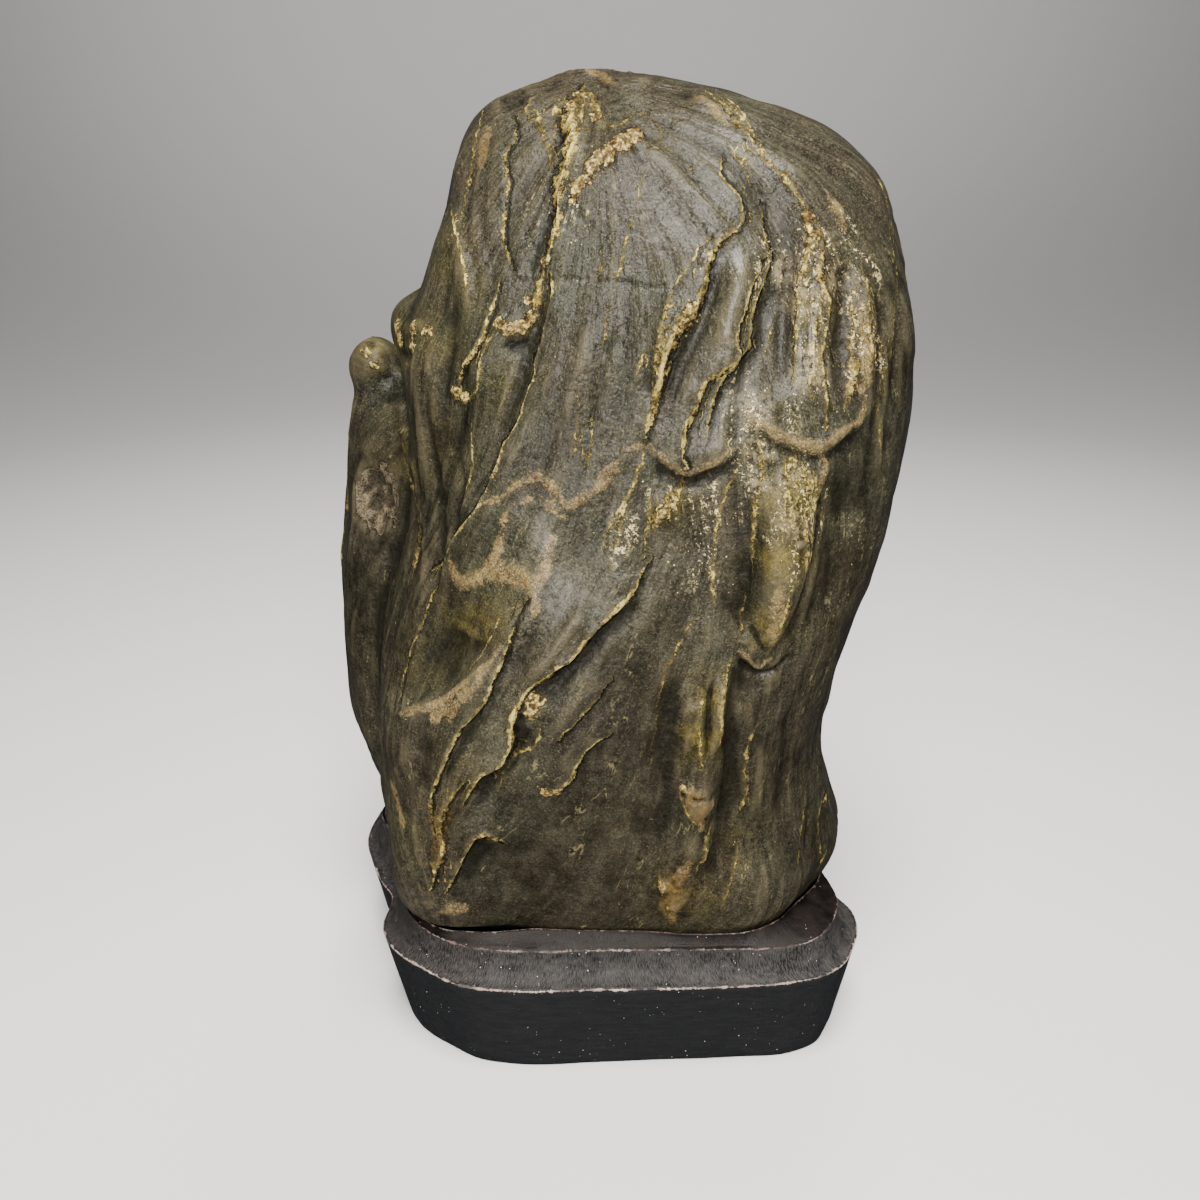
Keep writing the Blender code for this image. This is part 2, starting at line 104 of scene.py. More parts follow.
def shade(value):
    """A screen colour, three numbers from 0 to 255, as the shader wants it.
    Anything else is passed on as it is."""
    if not isinstance(value, tuple) or len(value) != 3:
        return value
    steps = [part / 255 for part in value]
    return (*[s / 12.92 if s <= 0.04045 else ((s + 0.055) / 1.055) ** 2.4 for s in steps], 1)


def mixed(share, first, second):
    """One colour turning into another as share goes from 0 to 1."""
    node = add_node("ShaderNodeMix", data_type="RGBA")
    feed(node.inputs["Factor"], share)
    feed(node.inputs[6], shade(first))
    feed(node.inputs[7], shade(second))
    return node.outputs[2]


def spread(value, low, high, out_low=0.0, out_high=1.0):
    """Value from low to high, eased to out_low to out_high."""
    node = add_node("ShaderNodeMapRange", interpolation_type="SMOOTHSTEP")
    for socket, given in zip(node.inputs, (value, low, high, out_low, out_high)):
        feed(socket, given)
    return node.outputs[0]


def cloudy(where, size, detail=2.0, rough=0.5, drift=0.0):
    """Soft noise, 0 to 1, whose patches are about size across."""
    node = add_node("ShaderNodeTexNoise")
    feed(node.inputs["Vector"], where)
    feed(node.inputs["Scale"], 1 / size)
    feed(node.inputs["Detail"], detail)
    feed(node.inputs["Roughness"], rough)
    feed(node.inputs["Distortion"], drift)
    return node.outputs["Fac"]


def in_millimetres():
    """Where a point is on the object, in millimetres."""
    place = add_node("ShaderNodeTexCoord").outputs["Object"]
    node = add_node("ShaderNodeVectorMath", operation="SCALE")
    feed(node.inputs[0], place)
    node.inputs["Scale"].default_value = 1 / MM
    return node.outputs[0]


bpy.ops.object.select_all(action="DESELECT")
bpy.ops.mesh.primitive_circle_add(vertices=FLOOR_SIDES, radius=FLOOR_RADIUS, fill_type="NGON")
paper = bpy.context.object
paper.name = "paper_sweep"
bpy.ops.object.mode_set(mode="EDIT")
bpy.ops.mesh.select_all(action="SELECT")
bpy.ops.mesh.region_to_loop()
sweep_out = FLOOR_RADIUS
for i in range(1, SWEEP_STEPS + 1):
    turn = math.radians(90 * i / SWEEP_STEPS)
    before = math.radians(90 * (i - 1) / SWEEP_STEPS)
    reach = FLOOR_RADIUS + SWEEP_RADIUS * math.sin(turn)
    lift = SWEEP_RADIUS * (math.cos(before) - math.cos(turn))
    bpy.ops.mesh.extrude_edges_move(TRANSFORM_OT_translate={"value": (0, 0, lift)})
    bpy.ops.transform.resize(value=(reach / sweep_out, reach / sweep_out, 1))
    sweep_out = reach
bpy.ops.mesh.extrude_edges_move(TRANSFORM_OT_translate={"value": (0, 0, WALL_RISE)})
bpy.ops.object.mode_set(mode="OBJECT")
bpy.ops.object.shade_smooth()

paper_finish, tree, shader = new_finish("pale_paper")
fleck = spread(cloudy(in_millimetres(), FLECK_SIZE, detail=4), 0.3, 0.7, 0, 0.05)
feed(shader.inputs["Base Color"], mixed(fleck, PAPER, PAPER_FLECK))
shader.inputs["Roughness"].default_value = 0.7
paper.data.materials.append(paper_finish)
paper.visible_glossy = False  # the wax mirrors the soft boxes alone

# ---------------------------------------------------------------------------------------
# The lights. A square soft box stands in front, above and behind the camera, with a
# small one low on the left, and they give the waxed face its sheen. A soft lamp hangs
# over the stone, another lifts the backdrop, and a box behind lights the back.

LAMP_TINT = (1.0, 0.95, 0.88)
ROOM_TINT = (0.9, 0.93, 1, 1)
ROOM_STRENGTH = 0.10


def place_light(name, data, place, aim):
    data.color = LAMP_TINT
    lamp = bpy.data.objects.new(name, data)
    lamp.location = place
    lamp.rotation_euler = (Vector(aim) - Vector(place)).to_track_quat("-Z", "Y").to_euler()
    lamp.visible_camera = False
    bpy.context.scene.collection.objects.link(lamp)
    return lamp


def soft_box(name, place, aim, width, height, power, fan):
    data = bpy.data.lights.new(name, "AREA")
    data.shape = "RECTANGLE"
    data.size, data.size_y = width, height
    data.spread = math.radians(fan)
    data.energy = power
    return place_light(name, data, place, aim)


def soft_lamp(name, place, aim, radius, cone, power):
    data = bpy.data.lights.new(name, "SPOT")
    data.shadow_soft_size = radius
    data.spot_size = math.radians(cone)
    data.spot_blend = 1.0
    data.energy = power
    return place_light(name, data, place, aim)


soft_box("front_box", (0.06, -0.98, 0.86), (0, 0, 0.16),
         width=0.52, height=0.52, power=6.3, fan=80)
soft_box("low_box", (-0.30, -0.86, 0.27), (0, 0, 0.17),
         width=0.30, height=0.26, power=0.68, fan=70)
back_box = soft_box("back_box", (0.30, 1.05, 0.75), (0, 0, 0.16),
                    width=0.70, height=0.50, power=1.6, fan=60)
back_box.visible_glossy = False  # it would glare along the top edge
soft_lamp("top_lamp", (0.02, -0.34, 1.25), (0, -0.14, 0), radius=0.26, cone=96, power=135)
soft_lamp("backdrop_lamp", (-0.05, 0.5, 1.9), (-0.05, 1.9, 0.75), radius=0.3, cone=82, power=92)

world = bpy.data.worlds.new("room")
world.use_nodes = True
room = world.node_tree.nodes["Background"]
room.inputs["Color"].default_value = ROOM_TINT
room.inputs["Strength"].default_value = ROOM_STRENGTH
bpy.context.scene.world = world

# ---------------------------------------------------------------------------------------
# The stone. One river-worn piece of dark grey-green rock whose layers stand almost
# upright, with cream and ochre veins, tan bands and lumps of crust left proud by wear. It
# is waxed by years of handling, and its own weight holds it in the recess of its stand.

# The lines below are set out on a sketch that hangs square to the line of sight,
# SKETCH_AWAY from the eye, and are cast on to the stone from there. A table is split by
# the bearing that its lines are cast from, in degrees round the stone: 0 is the broad
# face. Points are (across, up) from the middle of the sketch, and widths and heights are
# in millimetres on the stone.

# Veins: half width at the start and the end, how proud they stand, how much higher the
# stone is on their left as they run down, and their line.
VEINS = {0: [
    # the broad vein down the middle and its thin run below
    (2.2, 1.3, 0.6, -0.8, [(-17, 514), (-27, 493), (-31, 479), (-27, 464), (-33, 443), (-39, 420),
        (-42, 401), (-42, 382), (-44, 366), (-50, 347), (-56, 334), (-59, 320)]),
    (0.4, 0.45, 0.4, -1.4, [(-51, 328), (-49, 309), (-51, 294), (-55, 276), (-57, 261),
        (-65, 242), (-65, 228), (-73, 207), (-79, 188)]),
    (0.8, 0.8, 0.6, -1.5, [(-77, 194), (-86, 169), (-94, 156), (-97, 144), (-104, 127),
        (-115, 108), (-119, 96), (-130, 81), (-138, 72), (-148, 58), (-155, 45), (-169, 30)]),
    # the loops and crust at the top
    (0.9, 1.1, 0.4, 0, [(-16, 508), (-8, 500), (-4, 490), (-2, 474)]),
    (0.5, 0.3, 0.2, 0, [(-2, 474), (7, 478), (16, 472), (22, 478), (32, 486)]),
    (0.9, 0.4, 0.4, 0, [(-62, 486), (-60, 474), (-56, 462), (-51, 450), (-51, 436)]),
    (0.8, 0.5, 0.4, 0, [(-69, 502), (-74, 492), (-72, 480)]),
    (1, 0.4, 0.2, 0, [(-40, 502), (-44, 492), (-48, 484)]),
    (0.25, 0.35, 0.2, 0.5, [(-88, 482), (-84, 470), (-85, 460), (-93, 450), (-94, 431),
        (-92, 412), (-95, 391), (-97, 370), (-94, 351), (-87, 332)]),
    (0.3, 0.25, 0.1, 0, [(36, 492), (48, 484), (57, 476), (62, 466), (60, 458)]),
    (0.3, 0.25, 0.1, 0, [(40, 458), (52, 450), (64, 454), (72, 450)]),
    (0.3, 0.2, 0.1, 0, [(100, 440), (94, 432), (86, 428)]),
    # the plates left of the middle
    (1.3, 0.5, 1, 0, [(-59, 326), (-62, 309), (-67, 294), (-70, 280), (-73, 266)]),
    (0.4, 0.8, 0.6, 0.5, [(-100, 316), (-107, 292), (-113, 278), (-117, 261), (-130, 244),
        (-139, 228), (-141, 215), (-145, 200)]),
    (0.4, 0.4, 0.4, 0, [(-100, 280), (-109, 262), (-117, 246), (-121, 225), (-125, 209),
        (-137, 197)]),
    # the strip between the two long veins
    (0.35, 0.5, 0.4, 0.5, [(122, 442), (120, 430), (124, 420), (135, 408), (142, 396), (144, 382),
        (138, 369)]),
    (1, 0.7, 0.7, 0.8, [(138, 369), (126, 363), (116, 354), (109, 338), (106, 321), (101, 304),
        (94, 289), (84, 272), (76, 262)]),
    (1.5, 0.6, 1, 1.2, [(90, 292), (78, 274), (70, 254), (64, 236), (60, 216), (55, 196),
        (49, 178), (44, 156)]),
    (0.3, 0.3, 0.2, 0.3, [(112, 365), (100, 352), (88, 334), (74, 312), (68, 297), (63, 278),
        (57, 254), (54, 234), (53, 216)]),
    (0.9, 0.6, 0.5, 0, [(72, 302), (67, 287), (61, 268), (58, 250), (54, 228)]),
    # the second long vein
    (0.3, 0.3, 0.1, 0, [(126, 457), (135, 445), (143, 432), (148, 422), (155, 409)]),
    (0.5, 0.5, 0.5, 0.8, [(162, 395), (163, 375), (166, 356), (170, 342), (166, 328), (163, 314),
        (157, 298), (153, 282), (151, 266), (149, 252), (140, 240), (130, 228), (120, 214),
        (114, 200), (111, 186), (106, 160)]),
    (0.4, 0.9, 0.6, 1, [(168, 346), (160, 338), (157, 328), (151, 312), (145, 291), (138, 270),
        (136, 254), (139, 247), (126, 232), (106, 216), (99, 198), (90, 182), (84, 164),
        (83, 148), (87, 132)]),
    # the pair of veins down the column
    (0.9, 0.7, 0.5, 0, [(106, 510), (120, 496), (135, 479), (150, 460), (168, 438), (183, 424),
        (194, 408), (204, 394), (212, 384)]),
    (0.4, 0.4, 0.2, 0, [(122, 508), (136, 492), (150, 472), (162, 452), (172, 440)]),
    (0.5, 0.3, 0.2, 0, [(142, 460), (146, 444), (152, 434)]),
    (1, 0.6, 0.6, 0.3, [(208, 390), (218, 374), (221, 356), (219, 337), (221, 319), (228, 302),
        (228, 281), (224, 255), (222, 232), (225, 210), (228, 188), (226, 170)]),
    (1.1, 0.6, 0.6, -0.3, [(196, 394), (206, 378), (210, 354), (204, 335), (200, 319), (199, 297),
        (196, 272), (195, 247), (193, 216)]),
    (0.5, 0.6, 0.2, 0, [(215, 300), (214, 270), (212, 240), (210, 205)]),
    # the outer column
    (0.5, 0.7, 0.4, 0, [(262, 332), (266, 315), (268, 295), (268, 270), (272, 250), (270, 232)]),
    (0.7, 1.4, 0.5, 0, [(256, 310), (252, 295), (256, 278), (252, 255), (254, 232), (250, 212),
        (246, 192)]),
    (0.25, 0.2, 0.1, 0, [(280, 420), (288, 385), (293, 350), (296, 310), (293, 270), (290, 230),
        (288, 200)]),
    (0.3, 0.3, 0.1, 0, [(273, 310), (280, 270), (282, 228), (278, 180), (280, 130)]),
    # short threads across the main plate
    (0.3, 0.25, 0.1, 0, [(32, 378), (28, 366), (24, 354), (22, 338), (16, 320)]),
    (0.25, 0.2, 0.1, 0, [(2, 346), (0, 332), (-4, 320)]),
    (0.25, 0.2, 0.1, 0, [(45, 428), (40, 414), (38, 400)]),
    (0.35, 0.3, 0.1, 0, [(13, 298), (7, 284), (5, 268), (3, 250)]),
    (0.4, 0.2, 0.1, 0, [(44, 248), (40, 236), (36, 222)]),
    (0.3, 0.3, 0.1, 0, [(-8, 179), (-8, 160), (-12, 134)]),
    (0.25, 0.2, 0.1, 0, [(-21, 200), (-23, 170), (-26, 145)]),
    (0.3, 0.2, 0.1, 0, [(172, 276), (169, 260), (164, 244)]),
    # threads and lumps of the middle
    (0.5, 0.3, 0.4, 0, [(45, 154), (41, 134), (34, 118), (27, 103), (19, 88), (10, 76), (2, 56)]),
    (0.3, 0.3, 0.2, 0, [(36, 122), (25, 96), (22, 76), (16, 52), (10, 34)]),
    (0.5, 0.5, 0.2, 0, [(84, 130), (81, 116), (79, 104)]),
    (1.5, 0.8, 1.1, 0, [(78, 112), (71, 97), (61, 86), (55, 70)]),
    (0.5, 0.4, 0.2, 0, [(50, 104), (49, 88), (46, 60), (40, 40)]),
    (0.5, 0.4, 0.2, 0, [(140, 140), (133, 122), (126, 107), (121, 92), (117, 76), (114, 55)]),
    (0.45, 0.4, 0.2, 0, [(114, 40), (112, 22), (113, 0)]),
    # the crust along the lower plate's edge
    (0.7, 1.1, 0.8, 1.4, [(50, 40), (42, 27), (34, 9), (20, -6), (6, -18), (-6, -30), (-16, -42),
        (-26, -56), (-42, -67), (-54, -78), (-66, -86), (-78, -98)]),
    (1.1, 0.8, 1, 1.4, [(-76, -94), (-85, -112), (-89, -130), (-89, -144), (-96, -158),
        (-108, -169), (-120, -177), (-128, -190), (-136, -204)]),
    (0.5, 0.3, 0.4, 0, [(-60, -124), (-64, -144), (-78, -152), (-92, -168), (-102, -190)]),
    (0.9, 0.7, 0.7, 0.5, [(-136, -184), (-147, -196), (-156, -210), (-161, -230), (-157, -246),
        (-163, -268), (-170, -290)]),
    # the crest over the scoop
    (0.3, 0.5, 0.6, 0.7, [(-73, 0), (-84, -18), (-90, -38), (-96, -58), (-106, -78), (-114, -98),
        (-124, -114), (-138, -128), (-148, -146), (-156, -164), (-164, -182), (-169, -200),
        (-169, -218), (-166, -236)]),
    (0.9, 0.7, 1, 1.4, [(-97, -242), (-104, -236), (-116, -232), (-126, -238), (-133, -250),
        (-140, -264), (-148, -281), (-154, -294)]),
    (0.25, 0.3, 0.2, 0.7, [(10, -80), (-4, -98), (-19, -115), (-30, -128), (-42, -140)]),
    (0.4, 0.9, 0.5, 1, [(9, -135), (-4, -142), (-16, -152), (-24, -166), (-32, -182), (-43, -189),
        (-54, -192)]),
    (0.3, 0.25, 0.1, 0, [(101, -17), (88, -29), (80, -44), (69, -63), (63, -84), (57, -109),
        (57, -126), (50, -150)]),
    # the twin ridges
    (1.1, 0.9, 0.5, 0, [(131, -60), (124, -78), (120, -95), (119, -112), (119, -130),
        (117, -147)]),
    (0.8, 0.6, 0.4, 0, [(103, -88), (101, -105), (99, -126), (101, -145), (102, -166)]),
    (0.6, 0.4, 0.5, 0, [(80, -188), (84, -202), (92, -218), (100, -230)]),
    (0.5, 0.4, 0.5, 0, [(112, -226), (106, -242), (103, -256), (96, -272)]),
    (0.6, 0.4, 0.5, 0, [(60, -272), (62, -288), (68, -304), (68, -322)]),
    # the lower right
    (0.5, 0.4, 0.5, 0, [(158, -122), (150, -138), (145, -156), (144, -172), (146, -190),
        (142, -204), (134, -218)]),
    (0.3, 0.3, 0.2, 0, [(138, -240), (136, -262), (130, -284), (122, -306)]),
    (0.5, 0.4, 0.5, 0, [(224, -186), (220, -206), (218, -228), (220, -246), (222, -266)]),
    (0.3, 0.3, 0.1, 0, [(206, -190), (203, -215), (200, -240), (198, -266)]),
    # the columns under the shelf
    (0.9, 0.5, 0.4, 0, [(158, 160), (162, 134), (160, 112), (156, 90), (153, 60), (152, 34)]),
    (0.9, 0.6, 0.4, 0, [(200, 148), (206, 124), (204, 100), (204, 76), (205, 50), (203, 20)]),
    (0.5, 0.5, 0.2, 0, [(215, 130), (215, 100), (212, 70), (210, 40), (206, 10)]),
    (0.5, 0.4, 0.2, 0, [(144, 0), (142, -20), (140, -40)]),
    (0.5, 0.5, 0.2, 0, [(184, 150), (186, 120), (184, 90), (182, 60)]),
    (0.5, 0.5, 0.2, 0, [(193, 154), (196, 120), (193, 80), (191, 64)]),
    (0.6, 0.5, 0.4, 0, [(190, 14), (182, -12), (174, -34)]),
    # the flank's threads
    (0.6, 0.5, 0.5, 0, [(-196, 154), (-190, 127), (-186, 108), (-181, 89), (-179, 72), (-182, 52),
        (-187, 34), (-191, 16)]),
    (0.35, 0.3, 0.2, 0, [(-150, 395), (-144, 365), (-138, 343), (-135, 324), (-133, 304)]),
    (0.4, 0.3, 0.2, 0, [(-116, 492), (-124, 470), (-130, 440), (-134, 410), (-138, 386)]),
    (0.3, 0.3, 0.1, 0, [(-130, 180), (-128, 150), (-132, 120), (-142, 95)]),
    (0.22, 0.22, 0.5, 0.3, [(-160, 40), (-168, 10), (-176, -20), (-188, -48), (-196, -72),
        (-201, -100)]),
    (0.3, 0.3, 0.1, 0, [(-80, -4), (-95, -12), (-110, -40), (-128, -68)]),
], 180: [
    (0.9, 0.5, 0.5, 0.9, [(-60, 470), (-46, 420), (-40, 380), (-50, 330), (-52, 300), (-38, 250),
        (-30, 210), (-44, 160), (-48, 120), (-32, 80), (-20, 40)]),
    (1.2, 0.6, 0.6, 0, [(120, 420), (132, 350), (135, 300), (126, 240), (128, 200), (138, 150),
        (140, 110)]),
    (0.5, 1.1, 0.6, 0.9, [(170, 100), (130, 84), (90, 60), (62, 34), (40, 20), (4, -2),
        (-30, -30), (-56, -62), (-70, -100), (-82, -136), (-80, -170)]),
    (0.4, 0.9, 0.5, 0, [(60, 440), (74, 380), (80, 330), (70, 280), (70, 240), (80, 180),
        (84, 130), (78, 80)]),
    (0.8, 0.4, 0.5, 0, [(-100, 60), (-112, 20), (-110, -20), (-98, -60), (-96, -100),
        (-104, -140), (-104, -180)]),
    (0.7, 0.5, 0.5, 0.8, [(150, -10), (120, -30), (100, -58), (90, -90), (96, -124), (96, -160),
        (76, -200), (60, -230)]),
    (0.4, 0.4, 0.3, 0, [(10, 300), (2, 240), (12, 180), (6, 120), (14, 60), (10, 0)]),
    (1.3, 0.5, 0.6, 0, [(-150, 380), (-140, 340), (-146, 300), (-138, 250), (-142, 200)]),
], 90: [
    (0.8, 0.5, 0.5, 0.6, [(50, 420), (42, 360), (40, 310), (52, 260), (56, 220), (42, 170),
        (38, 130), (48, 70), (50, 20)]),
    (0.5, 0.9, 0.5, 0.5, [(80, 60), (66, 0), (60, -60), (66, -120), (66, -180)]),
    (0.6, 0.4, 0.4, 0, [(-30, 400), (-44, 340), (-48, 290), (-40, 240), (-40, 200), (-50, 140),
        (-52, 90)]),
    (0.9, 0.4, 0.5, 0, [(10, 20), (2, -30), (4, -70), (14, -120), (16, -170)]),
], 270: [
    (0.8, 0.4, 0.5, 0.5, [(-150, 230), (-144, 160), (-140, 100), (-152, 50), (-152, 10),
        (-142, -50), (-138, -120)]),
    (0.4, 0.6, 0.3, 0, [(-110, 190), (-112, 120), (-106, 60), (-110, 0)]),
    (0.5, 0.4, 0.4, 0, [(-84, 20), (-80, -40), (-92, -90), (-88, -150)]),
]}

# Tan and pink bands: half width at the start and the end, how proud, and their line.
BANDS = {0: [
    # the wavy band over the middle
    (1.1, 1.2, 0.3, [(-113, 96), (-100, 102), (-88, 112), (-77, 119), (-63, 123), (-52, 116),
        (-40, 106), (-33, 96), (-18, 102), (-2, 112), (7, 127), (17, 138), (25, 148), (40, 153)]),
    (0.5, 0.4, 0.2, [(-100, 70), (-94, 83), (-88, 93), (-79, 98), (-65, 100), (-50, 93),
        (-36, 82)]),
    (1.2, 2, 0.3, [(-98, 74), (-102, 54), (-107, 39), (-112, 26), (-125, 21), (-138, 18),
        (-145, 26), (-150, 42)]),
    (2, 3.2, 0.2, [(-124, 22), (-104, 28), (-88, 26), (-74, 20), (-60, 18)]),
    (1.6, 2.6, 0.2, [(-48, 60), (-52, 44), (-57, 28), (-66, 10)]),
    (1.3, 0.8, 0.2, [(-72, 14), (-64, 0), (-66, -16)]),
    # the lip under the strips
    (0.7, 0.8, 0.6, [(48, 158), (57, 145), (69, 135), (84, 126), (101, 131), (118, 139),
        (130, 147), (145, 158)]),
    # the shallow pink shelf
    (1.3, 1.5, 0.5, [(146, 202), (152, 184), (168, 171), (185, 162), (202, 156), (219, 152),
        (233, 160), (247, 169), (260, 180), (266, 198)]),
    (1, 0.6, 0.2, [(224, 154), (226, 134), (220, 110), (222, 88)]),
    (1.6, 2.2, 0.3, [(262, 294), (266, 264), (269, 238), (262, 208)]),
    (2, 1.4, 0.2, [(228, 400), (238, 388), (244, 370)]),
    # the slant band under the scoop
    (0.8, 0.6, 0.5, [(-200, -114), (-184, -109), (-167, -106), (-151, -96), (-136, -84),
        (-123, -73), (-109, -61), (-100, -46)]),
    (0.8, 0.4, 0.3, [(-170, -124), (-160, -114), (-146, -104), (-130, -90), (-114, -72)]),
    (0.6, 0.3, 0.2, [(-150, -122), (-142, -108), (-130, -94), (-120, -84)]),
    (2.6, 2, 0.4, [(-160, -314), (-145, -310), (-130, -306)]),
    (1.2, 1, 0.2, [(138, 369), (126, 363), (117, 354)]),
    (1.6, 1.2, 0.2, [(-114, 472), (-118, 450), (-120, 430)]),
    (1.6, 1.2, 0.2, [(90, 510), (104, 500), (118, 486), (130, 472)]),
    (1.2, 1, 0.2, [(-16, 528), (0, 524), (14, 516)]),
    (3, 3.2, 0.2, [(90, -192), (98, -206), (102, -224)]),
    (2.4, 3.2, 0.3, [(90, -262), (78, -278), (71, -296), (72, -324)]),
    (1.2, 2, 0.2, [(-148, -196), (-158, -226), (-160, -262)]),
    (0.5, 0.5, 0.3, [(138, -48), (146, -58), (158, -63), (168, -58)]),
    (2.4, 0.8, 0.2, [(180, 15), (176, -15), (168, -45)]),
    (1.4, 1.4, 0.2, [(-170, -206), (-164, -236), (-166, -266)]),
    (1.2, 1, 0.2, [(-212, -175), (-204, -200), (-196, -224)]),
], 180: [
    (1.4, 0.8, 0.3, [(-90, 250), (-50, 236), (-10, 250), (30, 232), (60, 250), (100, 240)]),
    (1.2, 1.6, 0.4, [(150, 0), (100, -26), (60, -40), (20, -70), (-10, -76)]),
], 90: [
    (1.2, 1.0, 0.3, [(-70, 150), (-30, 130), (10, 140), (50, 120), (90, 130)]),
], 270: [
    (1.2, 1.0, 0.3, [(-170, 60), (-140, 46), (-110, 60), (-80, 50)]),
]}

